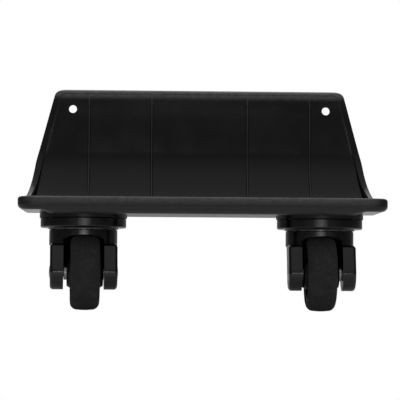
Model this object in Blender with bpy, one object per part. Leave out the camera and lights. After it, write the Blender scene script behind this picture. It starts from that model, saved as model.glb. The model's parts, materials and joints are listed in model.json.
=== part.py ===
"""Two-wheel caster base: an L-shaped moulded shell that is fastened round the lower edge of a case,
with two single-wheel swivel casters under its tray.

Metres, +Z up, +X to the right, -Y to the front (the open side of the shell). The origin lies on the
top face of the tray floor, midway between the two swivel axes. Each caster is built once, about its
own axes, and placed twice.
"""

import math

import bmesh
import bpy
from mathutils import Matrix, Vector

# Clearances
GAP = 0.0003            # between two pieces that rest on each other
FIT = 0.00015           # around a pin in its hole

# Shell: a sheet bent into a tray, a wide cove and an upright panel
SHEET = 0.003
SEAT_HEIGHT = 0.0665    # top of the tray floor above the ground
TRAY_FRONT = -0.039     # Y of the front rim
TRAY_FLAT = 0.057       # depth of the flat floor
COVE_RADIUS = 0.045     # on the inner face
PANEL_FLAT = 0.0375     # upright stretch between the cove and the rolled top edge
ROLL_RADIUS = 0.007     # top edge, rolled away from the open side
ROLL_ANGLE = math.radians(70)
HALF_WIDTH = 0.122
TAPER_START = 0.075     # along the sheet from the front rim
KINK_AT = 0.1207
KINK_HALF_WIDTH = 0.1157
TOP_HALF_WIDTH = 0.1015
FRONT_CORNER = 0.010
TOP_CORNER = 0.009
COVE_START = TRAY_FLAT  # these four are also measured along the sheet
COVE_END = COVE_START + COVE_RADIUS * math.pi / 2
ROLL_START = COVE_END + PANEL_FLAT
SHEET_LENGTH = ROLL_START + ROLL_RADIUS * ROLL_ANGLE

# Lip that stands up round the edge of the sheet and fades out along the panel
LIP_HEIGHT = 0.0081
LIP_THICKNESS = 0.0045
LIP_UNDER_RADIUS = 0.0045
LIP_OUTER_RADIUS = 0.0024
LIP_INNER_RADIUS = 0.0009
LIP_FILLET = 0.0012
LIP_FADE_START = 0.070
LIP_FADE_END = 0.138
LIP_LEAST = 0.08        # share of the height that is left along the top

# The outer face of the front lip leans inwards towards its top
LIP_LEAN = 0.0018
LIP_LEAN_FROM = -0.0005
LIP_LEAN_FADE = 0.006

# The floor of the tray rises towards both ends, and the rise fades out in the cove
END_RISE = 0.0023
END_RISE_FROM = 0.0985
END_RISE_TO = 0.1080
END_RISE_CUTS = 3
END_RISE_FADE = 0.110

# Ribs and holes of the panel
RIB_X = (-0.0785, -0.034, 0.034, 0.0785)
RIB_WIDTH = 0.0018
RIB_TOP_WIDTH = 0.0010
RIB_HEIGHT = 0.0007
RIB_FOOT = 0.001
ABOVE_RIBS = 0.00105
RIB_FROM = 0.060        # along the sheet
RIB_TO = 0.1615
SCREW_HOLE_X = 0.0902
SCREW_HOLE_Z = 0.0754
SCREW_HOLE_RADIUS = 0.00285

# Casters
CASTER_X = 0.0797
LEFT_YAW = math.radians(3.2)
RIGHT_YAW = math.radians(-0.5)
TRAIL = 0.016
WHEEL_RADIUS = 0.025
WHEEL_HALF_WIDTH = 0.0097
WHEEL_SHIFT = 0.0008    # each wheel has slid this far along its axle, towards the middle of the shell
AXLE_Z = WHEEL_RADIUS - SEAT_HEIGHT

# Swivel housing, under a shallow pad of the tray
PAD_RADIUS = 0.0294
PAD_Z = -0.0050
PAD_TOP = -0.0003
HOUSING_RADIUS = 0.0288
HOUSING_EDGE = 0.0010
HOUSING_TOP = PAD_Z - GAP
HOUSING_BOTTOM = -0.0115
STEP_RADIUS = 0.0236
STEP_BOTTOM = -0.0125
HUB_RADIUS = 0.0095
RACEWAY_RADIUS = 0.022
RACEWAY_CEILING = -0.0070
POCKET_RADIUS = 0.0080
POCKET_FLOOR = -0.0072
KINGPIN_BORE = 0.00425
SCREW_SPOTS = ((-0.0205, -0.0143), (0.0205, -0.0143), (0.0205, 0.0143), (-0.0205, 0.0143))
SCREW_RADIUS = 0.0016
SCREW_HEAD_RADIUS = 0.0036
SCREW_HEAD_DEPTH = 0.0021
SCREW_END = -0.0106
SCREW_FACE = -GAP

# Kingpin, washer and nut
KINGPIN_RADIUS = 0.004
KINGPIN_HEAD_RADIUS = 0.0065
KINGPIN_HEAD_TOP = -0.0155
KINGPIN_HEAD_BOTTOM = -0.0175
KINGPIN_END = -0.0006
WASHER_RADIUS = 0.0074
WASHER_THICKNESS = 0.0012
NUT_FLATS = 0.0115
NUT_THICKNESS = 0.0042
WASHER_LOW = POCKET_FLOOR + GAP
NUT_LOW = WASHER_LOW + WASHER_THICKNESS + GAP

# Swivel bearing: two pressed races and a ring of balls
RACE_IN = 0.0135
RACE_OUT = 0.0200
RACE_THICKNESS = 0.0020
BALL_CIRCLE = 0.01675
BALL_Z = -0.0102
BALL_RADIUS = 0.0018
GROOVE_RADIUS = 0.00205
RACE_WEB = 0.0008       # steel left behind the groove
BALLS = 8
CAGE_IN = 0.0147
CAGE_OUT = 0.0188
CAGE_THICKNESS = 0.0011
BALL_TURN = 0.2         # radians, so that no ball lines up with the facets of the ring

# Fork
CROWN_RADIUS = 0.0229
CROWN_TOP = STEP_BOTTOM - GAP
CROWN_BOTTOM = -0.0235
CROWN_EDGE = 0.0008
CROWN_WEB_BOTTOM = KINGPIN_HEAD_TOP + GAP
ARM_IN = 0.0135
ARM_OUT = 0.0223
ARM_EDGE = 0.0016
ARM_SPARE = 0.0010      # extra on the inside of each arm, which the wheel space takes away
ARM_ROOT_Z = -0.0215    # the arms start inside the crown
SHOULDER = (-0.0230, -0.0230)   # front of the arm below the crown, as (y, z)
REAR_TOP_Y = 0.0020
REAR_WAIST = (-0.0030, -0.0350)
SHOULDER_RADIUS = 0.0022
WAIST_RADIUS = 0.008
LUG_RADIUS = 0.0114
LUG_START = math.radians(-10)
LUG_END = math.radians(-194)
HOOD_HALF_WIDTH = 0.0160
HOOD_THICKNESS = 0.0026
HOOD_TOP_Z = -0.0207    # inside the crown
HOOD_BOTTOM_Z = -0.0430
HOOD_FRONT_Y = -0.0120
HOOD_CORNER = 0.0022
WHEEL_ROOM = 0.0259     # radius of the wheel space at its middle
WHEEL_ROOM_DROP = 0.0038
WHEEL_ROOM_POWER = 2.5
HEAD_SEAT_X = 0.0209
NUT_SEAT_X = 0.0189
SEAT_RADIUS = 0.0056

# Axle, its nut and the spacers
AXLE_RADIUS = 0.003
AXLE_HEAD_RADIUS = 0.0053
AXLE_FACE_X = 0.0229
AXLE_END_X = 0.0222
SPACER_RADIUS = 0.005

# Wheel
CORE_RADIUS = 0.0196
CORE_HALF_WIDTH = 0.0088
CORE_RIM_IN = 0.0172
CORE_HUB_RADIUS = 0.0104
CORE_HUB_HALF_WIDTH = 0.0098
COLLAR_RADIUS = 0.0090  # of the collar that stands round each bearing
COLLAR_X = 0.0120
CORE_WEB_HALF = 0.0017
CORE_RIBS = 6
CORE_RIB_HALF = 0.0008
CORE_RIB_REACH = 0.0070
TYRE_IN = 0.0199
TYRE_SHOULDER = 0.0050
TREAD_CROWN = 0.0003
TREAD_LINE_HALF = 0.0004
TREAD_LINE_DEPTH = 0.0003
BEARING_RADIUS = 0.008
BEARING_BORE = AXLE_RADIUS + FIT
BEARING_INNER_OUT = 0.0047
BEARING_OUTER_IN = 0.0066
BEARING_SHIELD_IN = 0.0050
BEARING_SHIELD = 0.0008
BEARING_FROM = 0.0047
BEARING_TO = 0.0097

# Segments round each kind of turned piece, and along each kind of arc
LARGE_ROUND = 32
MIDDLE_ROUND = 24
RACE_ROUND = 20
SMALL_ROUND = 12
SCREW_ROUND = 8
BALL_ROUND = 6
CORNER_STEPS = 4
NOSE_STEPS = 3
COVE_CUTS = 8
ROLL_CUTS = 4
SMOOTH_ANGLE = math.radians(35)
MERGE_DISTANCE = 1e-7
BISECT_TOLERANCE = 1e-6
SMALL_EDGE = 0.0005     # chamfer of the kingpin and the axle


# Shared tools

def clear_scene():
    for obj in list(bpy.data.objects):
        bpy.data.objects.remove(obj, do_unlink=True)


def make_material(name, colour, roughness, metallic=0.0):
    """A Principled material with one colour, roughness and metallic value."""
    made = bpy.data.materials.new(name)
    made.use_nodes = True
    shader = made.node_tree.nodes["Principled BSDF"]
    shader.inputs["Base Color"].default_value = (*colour, 1.0)
    shader.inputs["Roughness"].default_value = roughness
    shader.inputs["Metallic"].default_value = metallic
    made.diffuse_color = (*colour, 1.0)
    return made


def arc(centre, radius, start, end, steps):
    """Points on an arc, from the angle start to the angle end, both included."""
    angles = [start + (end - start) * i / steps for i in range(steps + 1)]
    return [(centre[0] + radius * math.cos(a), centre[1] + radius * math.sin(a)) for a in angles]


def rounded(corners, steps):
    """A closed outline from corners (x, y, radius), each corner with a radius turned into an arc."""
    outline = []
    for i, (x, y, radius) in enumerate(corners):
        here = Vector((x, y))
        if radius == 0:
            outline.append((x, y))
            continue
        back = (Vector(corners[i - 1][:2]) - here).normalized()
        ahead = (Vector(corners[(i + 1) % len(corners)][:2]) - here).normalized()
        half = back.angle(ahead) / 2
        centre = here + (back + ahead).normalized() * radius / math.sin(half)
        start = here + back * radius / math.tan(half) - centre
        end = here + ahead * radius / math.tan(half) - centre
        turn = start.angle_signed(end)
        for k in range(steps + 1):
            spoke = start.copy()
            spoke.rotate(Matrix.Rotation(-turn * k / steps, 2))
            outline.append(tuple(centre + spoke))
    return outline


def finished(mesh_edit, name):
    """The mesh of a bmesh, with merged points and its faces pointing out."""
    bmesh.ops.remove_doubles(mesh_edit, verts=mesh_edit.verts, dist=MERGE_DISTANCE)
    bmesh.ops.recalc_face_normals(mesh_edit, faces=mesh_edit.faces)
    mesh = bpy.data.meshes.new(name)
    mesh_edit.to_mesh(mesh)
    mesh_edit.free()
    return mesh


def turned(name, profile, segments, along_x=False):
    """A closed profile of (radius, height) points turned round Z, or round X for the wheel's pieces."""
    edit = bmesh.new()
    points = [edit.verts.new((radius, 0, height)) for radius, height in profile]
    edges = [edit.edges.new((points[i - 1], points[i])) for i in range(len(points))
             if profile[i - 1][0] > 0 or profile[i][0] > 0]
    bmesh.ops.spin(edit, geom=points + edges, cent=(0, 0, 0), axis=(0, 0, 1),
                   angle=math.tau, steps=segments, use_merge=True)
    if along_x:
        bmesh.ops.rotate(edit, verts=edit.verts, cent=(0, 0, 0),
                         matrix=Matrix.Rotation(math.radians(90), 3, "Y"))
    return finished(edit, name)


def prism(name, outline, low, high, across=(0, 0, 1)):
    """An outline extruded from low to high along Z, or along X with the outline in Y and Z."""
    edit = bmesh.new()
    if across[0]:
        points = [edit.verts.new((low, u, v)) for u, v in outline]
        step = Vector((high - low, 0, 0))
    else:
        points = [edit.verts.new((u, v, low)) for u, v in outline]
        step = Vector((0, 0, high - low))
    face = edit.faces.new(points)
    grown = bmesh.ops.extrude_face_region(edit, geom=[face], use_keep_orig=True)
    moved = [item for item in grown["geom"] if isinstance(item, bmesh.types.BMVert)]
    bmesh.ops.translate(edit, verts=moved, vec=step)
    return finished(edit, name)


def moved_copy(mesh, shift=(0, 0, 0), turn=0.0, axis="Z"):
    """A copy of a mesh, turned about an axis through the origin and then moved."""
    copied = mesh.copy()
    copied.transform(Matrix.Translation(shift) @ Matrix.Rotation(turn, 4, axis))
    return copied


def combined(mesh, tools, operation):
    """The mesh after one Boolean with each tool mesh, in order."""
    base = bpy.data.objects.new("base", mesh)
    bpy.context.scene.collection.objects.link(base)
    helpers = [base]
    for tool in tools:
        helper = bpy.data.objects.new("tool", tool)
        bpy.context.scene.collection.objects.link(helper)
        helper.hide_render = True
        helper.display_type = "WIRE"
        helpers.append(helper)
        step = base.modifiers.new("step", "BOOLEAN")
        step.operation = operation
        step.solver = "EXACT"
        step.object = helper
    bpy.context.view_layer.update()
    graph = bpy.context.evaluated_depsgraph_get()
    result = bpy.data.meshes.new_from_object(base.evaluated_get(graph))
    for helper in helpers:
        bpy.data.objects.remove(helper, do_unlink=True)
    return result


def make_empty(name, parent=None, location=(0, 0, 0), yaw=0.0):
    empty = bpy.data.objects.new(name, None)
    bpy.context.scene.collection.objects.link(empty)
    empty.location = location
    empty.rotation_euler = (0, 0, yaw)
    empty.parent = parent
    return empty


def place(name, mesh, material, parent=None, location=(0, 0, 0), rotation=(0, 0, 0)):
    """One named piece with its own material, smooth where its faces meet at a small angle."""
    own = mesh.copy()
    own.name = name
    own.materials.clear()
    own.materials.append(material)
    own.shade_smooth()
    own.set_sharp_from_angle(angle=SMOOTH_ANGLE)
    piece = bpy.data.objects.new(name, own)
    bpy.context.scene.collection.objects.link(piece)
    piece.location = location
    piece.rotation_euler = rotation
    piece.parent = parent
    return piece


# Shell

def sheet_point(x, along, height):
    """Where a point of the flat sheet lies once it is bent: along from the front rim, height above it."""
    if along <= COVE_START:
        return Vector((x, TRAY_FRONT + along, height))
    if along <= COVE_END:
        angle = (along - COVE_START) / COVE_RADIUS
        reach = COVE_RADIUS - height
        return Vector((x, TRAY_FRONT + TRAY_FLAT + reach * math.sin(angle),
                       COVE_RADIUS - reach * math.cos(angle)))
    panel_y = TRAY_FRONT + TRAY_FLAT + COVE_RADIUS
    if along <= ROLL_START:
        return Vector((x, panel_y - height, COVE_RADIUS + along - COVE_END))
    angle = (along - ROLL_START) / ROLL_RADIUS
    reach = ROLL_RADIUS + height
    return Vector((x, panel_y + ROLL_RADIUS - reach * math.cos(angle),
                   COVE_RADIUS + PANEL_FLAT + reach * math.sin(angle)))


def lip_share(along):
    """Share of the lip's full height at this place along the sheet."""
    t = min(max((along - LIP_FADE_START) / (LIP_FADE_END - LIP_FADE_START), 0), 1)
    return 1 - (1 - LIP_LEAST) * t * t * (3 - 2 * t)


def end_rise(x, along, height):
    """How far a point of the sheet is lifted near the ends; the top of the lip stays where it is."""
    t = min(max((abs(x) - END_RISE_FROM) / (END_RISE_TO - END_RISE_FROM), 0), 1)
    fade = min(max((END_RISE_FADE - along) / (END_RISE_FADE - COVE_START), 0), 1)
    depth = (LIP_HEIGHT - height) / (LIP_HEIGHT + SHEET)
    return END_RISE * t * t * (3 - 2 * t) * fade * depth


def lip_lean(x, along, height):
    """How far a point of the front lip is set back; the lean fades out at the corners."""
    climb = max(height - LIP_LEAN_FROM, 0) / (LIP_HEIGHT - LIP_LEAN_FROM)
    outside = max(1 - along / LIP_THICKNESS, 0)
    middle = min(max((HALF_WIDTH - FRONT_CORNER - abs(x)) / LIP_LEAN_FADE, 0), 1)
    return LIP_LEAN * climb * climb * outside * middle


def sheet_outline():
    """Outline of the flat sheet, anticlockwise, as (x, along) points."""
    right = [(HALF_WIDTH, 0, FRONT_CORNER), (HALF_WIDTH, TAPER_START, 0),
             (KINK_HALF_WIDTH, KINK_AT, 0), (TOP_HALF_WIDTH, SHEET_LENGTH, TOP_CORNER)]
    left = [(-x, along, radius) for x, along, radius in reversed(right)]
    return rounded(right + left, CORNER_STEPS)


def inset(outline, distance):
    """The outline moved in by a distance, each point along the bisector of its two sides."""
    result = []
    for i, point in enumerate(outline):
        here = Vector(point)
        before = (here - Vector(outline[i - 1])).normalized()
        after = (Vector(outline[(i + 1) % len(outline)]) - here).normalized()
        first = Vector((-before.y, before.x))
        second = Vector((-after.y, after.x))
        result.append(here + (first + second) * distance / (1 + first.dot(second)))
    return result


def edge_profile():
    """Section through the edge of the sheet, as (inset, height): under face, lip, top face."""
    fillet_centre = (LIP_THICKNESS + LIP_FILLET, LIP_FILLET)
    under = arc((LIP_UNDER_RADIUS, LIP_UNDER_RADIUS - SHEET), LIP_UNDER_RADIUS,
                -math.pi / 2, -math.pi, CORNER_STEPS - 1)
    nose_centre = (LIP_OUTER_RADIUS, LIP_HEIGHT - LIP_OUTER_RADIUS)
    inner_centre = (LIP_THICKNESS - LIP_INNER_RADIUS, LIP_HEIGHT - LIP_INNER_RADIUS)
    over = [(0, LIP_HEIGHT / 4)] + arc(nose_centre, LIP_OUTER_RADIUS, math.pi, math.pi / 2, NOSE_STEPS)
    over += arc(inner_centre, LIP_INNER_RADIUS, math.pi / 2, 0, 1)
    foot = arc(fillet_centre, LIP_FILLET, math.pi, 1.5 * math.pi, 1)
    return under + over + foot


def flat_sheet():
    """The sheet before it is bent, with its lip: loops of points joined edge to edge."""
    outline = sheet_outline()
    edit = bmesh.new()
    loops = [[edit.verts.new((*point, height)) for point in inset(outline, distance)]
             for distance, height in edge_profile()]
    for lower, upper in zip(loops, loops[1:]):
        for i in range(len(outline)):
            edit.faces.new((lower[i - 1], lower[i], upper[i], upper[i - 1]))
    edit.faces.new(reversed(loops[0]))
    edit.faces.new(loops[-1])
    return finished(edit, "flat_sheet")


def flat_rib(x):
    """One low rib on the inner face of the flat sheet, narrower at its top."""
    edit = bmesh.new()
    foot = RIB_FOOT
    section = [(-RIB_WIDTH / 2, -foot), (RIB_WIDTH / 2, -foot), (RIB_WIDTH / 2, 0),
               (RIB_TOP_WIDTH / 2, RIB_HEIGHT), (-RIB_TOP_WIDTH / 2, RIB_HEIGHT), (-RIB_WIDTH / 2, 0)]
    face = edit.faces.new([edit.verts.new((x + across, RIB_FROM, height)) for across, height in section])
    grown = bmesh.ops.extrude_face_region(edit, geom=[face], use_keep_orig=True)
    moved = [item for item in grown["geom"] if isinstance(item, bmesh.types.BMVert)]
    bmesh.ops.translate(edit, verts=moved, vec=(0, RIB_TO - RIB_FROM, 0))
    return finished(edit, "flat_rib")


def bent(mesh):
    """The flat sheet cut across wherever it bends, then bent into the shell."""
    edit = bmesh.new()
    edit.from_mesh(mesh)
    cuts = [COVE_START + (COVE_END - COVE_START) * i / COVE_CUTS for i in range(COVE_CUTS + 1)]
    cuts += [ROLL_START + (SHEET_LENGTH - ROLL_START) * i / ROLL_CUTS for i in range(ROLL_CUTS)]
    cuts += [LIP_FADE_END]
    planes = [((0, along, 0), (0, 1, 0)) for along in cuts]
    for i in range(END_RISE_CUTS + 1):
        x = END_RISE_FROM + (END_RISE_TO - END_RISE_FROM) * i / END_RISE_CUTS
        planes += [((x, 0, 0), (1, 0, 0)), ((-x, 0, 0), (1, 0, 0))]
    for x in (HALF_WIDTH - FRONT_CORNER, HALF_WIDTH - FRONT_CORNER - LIP_LEAN_FADE):
        planes += [((x, 0, 0), (1, 0, 0)), ((-x, 0, 0), (1, 0, 0))]
    for place, facing in planes:
        bmesh.ops.bisect_plane(edit, geom=edit.verts[:] + edit.edges[:] + edit.faces[:],
                               dist=BISECT_TOLERANCE, plane_co=place, plane_no=facing)
    for vert in edit.verts:
        x, along, height = vert.co
        near_edge = abs(x) > max(abs(rib) for rib in RIB_X) + RIB_WIDTH
        if height > 0 and (near_edge or height > ABOVE_RIBS or along > RIB_TO + RIB_WIDTH):
            height *= lip_share(along)
        set_back = along + lip_lean(x, along, height)
        vert.co = sheet_point(x, set_back, height + end_rise(x, along, height))
    return finished(edit, "bent")


def panel_hole(x):
    along = COVE_END + SCREW_HOLE_Z - COVE_RADIUS
    cutter = turned("panel_hole", cylinder_profile(SCREW_HOLE_RADIUS, -SHEET * 2, SHEET * 2), RACE_ROUND)
    return moved_copy(cutter, (x, along, 0))


def cylinder_profile(radius, low, high):
    return [(0, low), (radius, low), (radius, high), (0, high)]


def ring_profile(inner, outer, low, high):
    return [(inner, low), (outer, low), (outer, high), (inner, high)]


def screw_hole_profile():
    """Countersunk hole through the tray floor."""
    shank = SCREW_RADIUS + FIT * 2
    head = SCREW_HEAD_RADIUS + GAP
    return [(0, PAD_Z * 2), (shank, PAD_Z * 2), (shank, -SCREW_HEAD_DEPTH - GAP * 2), (head, -GAP - FIT),
            (head, SHEET), (0, SHEET)]


def make_shell():
    """The L-shaped shell with its lip, ribs, caster pads and holes."""
    sheet = combined(flat_sheet(), [flat_rib(x) for x in RIB_X], "UNION")
    sheet = combined(sheet, [panel_hole(-SCREW_HOLE_X), panel_hole(SCREW_HOLE_X)], "DIFFERENCE")
    shell = bent(sheet)
    pad = turned("pad", cylinder_profile(PAD_RADIUS, PAD_Z, PAD_TOP), LARGE_ROUND)
    pads = [moved_copy(pad, (x, 0, 0)) for x in (-CASTER_X, CASTER_X)]
    shell = combined(shell, pads, "UNION")
    access = turned("access", cylinder_profile(POCKET_RADIUS + GAP, PAD_Z * 2, SHEET), MIDDLE_ROUND)
    drill = turned("drill", screw_hole_profile(), SCREW_ROUND)
    cutters = []
    for x in (-CASTER_X, CASTER_X):
        cutters.append(moved_copy(access, (x, 0, 0)))
        cutters += [moved_copy(drill, (x + dx, dy, 0)) for dx, dy in SCREW_SPOTS]
    return combined(shell, cutters, "DIFFERENCE")


# Swivel housing and its fastenings

def make_housing():
    """Mount disc with a step below it, a hub for the kingpin and a raceway recess between them."""
    edge = HOUSING_EDGE
    profile = [(HUB_RADIUS, STEP_BOTTOM), (HUB_RADIUS, RACEWAY_CEILING), (RACEWAY_RADIUS, RACEWAY_CEILING),
               (RACEWAY_RADIUS, STEP_BOTTOM), (STEP_RADIUS, STEP_BOTTOM), (STEP_RADIUS, HOUSING_BOTTOM),
               (HOUSING_RADIUS - edge, HOUSING_BOTTOM), (HOUSING_RADIUS, HOUSING_BOTTOM + edge),
               (HOUSING_RADIUS, HOUSING_TOP - edge), (HOUSING_RADIUS - edge, HOUSING_TOP),
               (POCKET_RADIUS, HOUSING_TOP), (POCKET_RADIUS, POCKET_FLOOR), (KINGPIN_BORE, POCKET_FLOOR),
               (KINGPIN_BORE, STEP_BOTTOM)]
    housing = turned("housing", profile, LARGE_ROUND)
    drill = turned("pilot", cylinder_profile(SCREW_RADIUS + FIT, SCREW_END - GAP, 0), SCREW_ROUND)
    return combined(housing, [moved_copy(drill, (x, y, 0)) for x, y in SCREW_SPOTS], "DIFFERENCE")


def make_housing_screw():
    profile = [(0, SCREW_END), (SCREW_RADIUS, SCREW_END + SCREW_RADIUS),
               (SCREW_RADIUS, SCREW_FACE - SCREW_HEAD_DEPTH), (SCREW_HEAD_RADIUS, SCREW_FACE - FIT),
               (SCREW_HEAD_RADIUS, SCREW_FACE), (0, SCREW_FACE)]
    return turned("screw", profile, SCREW_ROUND)


def make_kingpin():
    """Pin with a low head under the crown; its shank ends just below the tray floor."""
    edge = SMALL_EDGE
    profile = [(0, KINGPIN_HEAD_BOTTOM), (KINGPIN_HEAD_RADIUS - edge, KINGPIN_HEAD_BOTTOM),
               (KINGPIN_HEAD_RADIUS, KINGPIN_HEAD_BOTTOM + edge), (KINGPIN_HEAD_RADIUS, KINGPIN_HEAD_TOP),
               (KINGPIN_RADIUS, KINGPIN_HEAD_TOP), (KINGPIN_RADIUS, KINGPIN_END - edge),
               (KINGPIN_RADIUS - edge, KINGPIN_END), (0, KINGPIN_END)]
    return turned("kingpin", profile, SMALL_ROUND)


def make_washer():
    return turned("washer", ring_profile(KINGPIN_BORE, WASHER_RADIUS, WASHER_LOW,
                                         WASHER_LOW + WASHER_THICKNESS), SMALL_ROUND)


def make_nut():
    """Plain hexagon nut."""
    corner = NUT_FLATS / math.sqrt(3)
    outline = [(corner * math.cos(i * math.pi / 3), corner * math.sin(i * math.pi / 3)) for i in range(6)]
    body = prism("nut", outline, NUT_LOW, NUT_LOW + NUT_THICKNESS)
    bore = turned("nut_bore", cylinder_profile(KINGPIN_BORE, NUT_LOW - SHEET, SHEET), SMALL_ROUND)
    return combined(body, [bore], "DIFFERENCE")


# Swivel bearing

def make_race(upper):
    """Pressed steel race with a groove for the balls, above or below them."""
    side = 1 if upper else -1
    back = GROOVE_RADIUS + RACE_WEB
    front = back - RACE_THICKNESS
    reach = math.acos(front / GROOVE_RADIUS)
    groove = arc((BALL_CIRCLE, 0), GROOVE_RADIUS, math.pi / 2 + reach, math.pi / 2 - reach, 3)
    section = [(RACE_IN, back), (RACE_IN, front)] + groove + [(RACE_OUT, front), (RACE_OUT, back)]
    return turned("race", [(radius, BALL_Z + side * height) for radius, height in section], RACE_ROUND)


def make_ball_ring():
    """Retainer ring with its balls, which stand out of it above and below."""
    half = CAGE_THICKNESS / 2
    ring = turned("cage", ring_profile(CAGE_IN, CAGE_OUT, BALL_Z - half, BALL_Z + half), BALLS * 2)
    edit = bmesh.new()
    bmesh.ops.create_uvsphere(edit, u_segments=BALL_ROUND, v_segments=BALL_ROUND - 2, radius=BALL_RADIUS)
    ball = finished(edit, "ball")
    balls = []
    for i in range(BALLS):
        angle = math.tau * i / BALLS + BALL_TURN
        centre = (BALL_CIRCLE * math.cos(angle), BALL_CIRCLE * math.sin(angle), BALL_Z)
        balls.append(moved_copy(ball, centre, angle + BALL_TURN))
    return combined(ring, balls, "UNION")


# Fork

def wheel_room_profile():
    """Outline of the wheel space: widest in the middle, drawn in towards the arms."""
    steps = 6
    profile = [(0, -ARM_IN)]
    for i in range(steps + 1):
        x = ARM_IN * (2 * i / steps - 1)
        drop = WHEEL_ROOM_DROP * abs(x / ARM_IN) ** WHEEL_ROOM_POWER
        profile.append((WHEEL_ROOM - drop, x))
    profile.append((0, ARM_IN))
    return profile


def arm_outline():
    """Side view of an arm, as (y, z): shoulder at the crown and a round lug at the axle."""
    foot = arc((-TRAIL, AXLE_Z), LUG_RADIUS, LUG_START, LUG_END, 10)
    upper = rounded([(*foot[-1], 0), (*SHOULDER, SHOULDER_RADIUS),
                     (SHOULDER[0] / 2, ARM_ROOT_Z, 0), (REAR_TOP_Y, ARM_ROOT_Z, 0),
                     (*REAR_WAIST, WAIST_RADIUS), (*foot[0], 0)], 3)
    return foot + upper[1:-1]


def hood_outline():
    """Side view of the hood that covers the back of the wheel between the arms, as (y, z)."""
    radius = WHEEL_ROOM + HOOD_THICKNESS
    low = math.asin((HOOD_BOTTOM_Z - AXLE_Z) / radius)
    high = math.asin((HOOD_TOP_Z - AXLE_Z) / radius)
    back = arc((-TRAIL, AXLE_Z), radius, low, high, 6)
    corners = [(HOOD_FRONT_Y, HOOD_BOTTOM_Z, 0), (*back[0], HOOD_CORNER)]
    corners += [(y, z, 0) for y, z in back[1:]] + [(HOOD_FRONT_Y, HOOD_TOP_Z, 0)]
    return rounded(corners, 3)


def make_arm(side):
    """One arm, with its outer edge rounded over."""
    low, high = sorted((side * (ARM_IN - ARM_SPARE), side * ARM_OUT))
    mesh = prism("arm", arm_outline(), low, high, across=(1, 0, 0))
    edit = bmesh.new()
    edit.from_mesh(mesh)
    outer = side * ARM_OUT
    rim = [edge for edge in edit.edges if all(abs(v.co.x - outer) < BISECT_TOLERANCE for v in edge.verts)]
    bmesh.ops.bevel(edit, geom=rim, offset=ARM_EDGE, segments=2, profile=0.5, affect="EDGES",
                    clamp_overlap=True)
    return finished(edit, "arm")


def make_fork():
    """Crown, two arms and hood in one moulding, hollowed for the wheel, the kingpin, the race and the axle."""
    edge = CROWN_EDGE
    crown = turned("crown", [(0, CROWN_BOTTOM), (CROWN_RADIUS - edge, CROWN_BOTTOM),
                             (CROWN_RADIUS, CROWN_BOTTOM + edge), (CROWN_RADIUS, CROWN_TOP - edge),
                             (CROWN_RADIUS - edge, CROWN_TOP), (0, CROWN_TOP)], LARGE_ROUND)
    hood = prism("hood", hood_outline(), -HOOD_HALF_WIDTH, HOOD_HALF_WIDTH, across=(1, 0, 0))
    fork = combined(crown, [make_arm(-1), make_arm(1), hood], "UNION")
    axle_line = (0, -TRAIL, AXLE_Z)
    room = moved_copy(turned("room", wheel_room_profile(), MIDDLE_ROUND, along_x=True), axle_line)
    pin_profile = [(0, CROWN_BOTTOM * 2), (KINGPIN_HEAD_RADIUS + GAP * 2, CROWN_BOTTOM * 2),
                   (KINGPIN_HEAD_RADIUS + GAP * 2, CROWN_WEB_BOTTOM), (KINGPIN_BORE, CROWN_WEB_BOTTOM),
                   (KINGPIN_BORE, 0), (0, 0)]
    pin_room = turned("pin_room", pin_profile, SMALL_ROUND)
    race_floor = BALL_Z - GROOVE_RADIUS - RACE_WEB - GAP
    race_room = turned("race_room", ring_profile(RACE_IN - GAP, RACE_OUT + GAP, race_floor, 0), MIDDLE_ROUND)
    axle_profile = [(0, -ARM_OUT * 2), (SEAT_RADIUS, -ARM_OUT * 2), (SEAT_RADIUS, -HEAD_SEAT_X),
                    (AXLE_RADIUS + FIT, -HEAD_SEAT_X), (AXLE_RADIUS + FIT, NUT_SEAT_X),
                    (SEAT_RADIUS, NUT_SEAT_X), (SEAT_RADIUS, ARM_OUT * 2), (0, ARM_OUT * 2)]
    axle_room = moved_copy(turned("axle_room", axle_profile, SMALL_ROUND, along_x=True), axle_line)
    return combined(fork, [room, pin_room, race_room, axle_room], "DIFFERENCE")


# Axle

def make_axle():
    """Axle pin with a low domed head at the left arm."""
    seat = -HEAD_SEAT_X - GAP
    dome = arc((0, 0), 1.0, 0, math.pi / 2, 3)
    rise = AXLE_FACE_X + seat - GAP * 2
    head = [(AXLE_HEAD_RADIUS * c, seat - GAP * 2 - rise * s) for c, s in dome]
    head[-1] = (0, head[-1][1])
    edge = SMALL_EDGE
    profile = [(0, AXLE_END_X), (AXLE_RADIUS - edge, AXLE_END_X), (AXLE_RADIUS, AXLE_END_X - edge),
               (AXLE_RADIUS, seat), (AXLE_HEAD_RADIUS, seat)] + head
    return turned("axle", profile, SMALL_ROUND, along_x=True)


def make_axle_nut():
    """Round cap nut on the far end of the axle, with a blind bore."""
    seat = NUT_SEAT_X + GAP
    shoulder = ARM_OUT - GAP
    dome = arc((0, 0), 1.0, 0, math.pi / 2, 3)
    cap = [(AXLE_HEAD_RADIUS * c, shoulder + (AXLE_FACE_X - shoulder) * s) for c, s in dome]
    cap[-1] = (0, cap[-1][1])
    bore = AXLE_RADIUS + FIT
    profile = [(0, AXLE_END_X + GAP), (bore, AXLE_END_X + GAP), (bore, seat), (AXLE_HEAD_RADIUS, seat)] + cap
    return turned("axle_nut", profile, SMALL_ROUND, along_x=True)


def make_spacer():
    """Sleeve between an arm and the bearing next to it, on the +X side."""
    return turned("spacer", ring_profile(AXLE_RADIUS + FIT, SPACER_RADIUS, BEARING_TO + WHEEL_SHIFT + GAP,
                                         ARM_IN - GAP), SMALL_ROUND, along_x=True)


# Wheel

def make_bearing_inner():
    return turned("bearing_inner", ring_profile(BEARING_BORE, BEARING_INNER_OUT, BEARING_FROM, BEARING_TO),
                  SMALL_ROUND, along_x=True)


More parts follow.
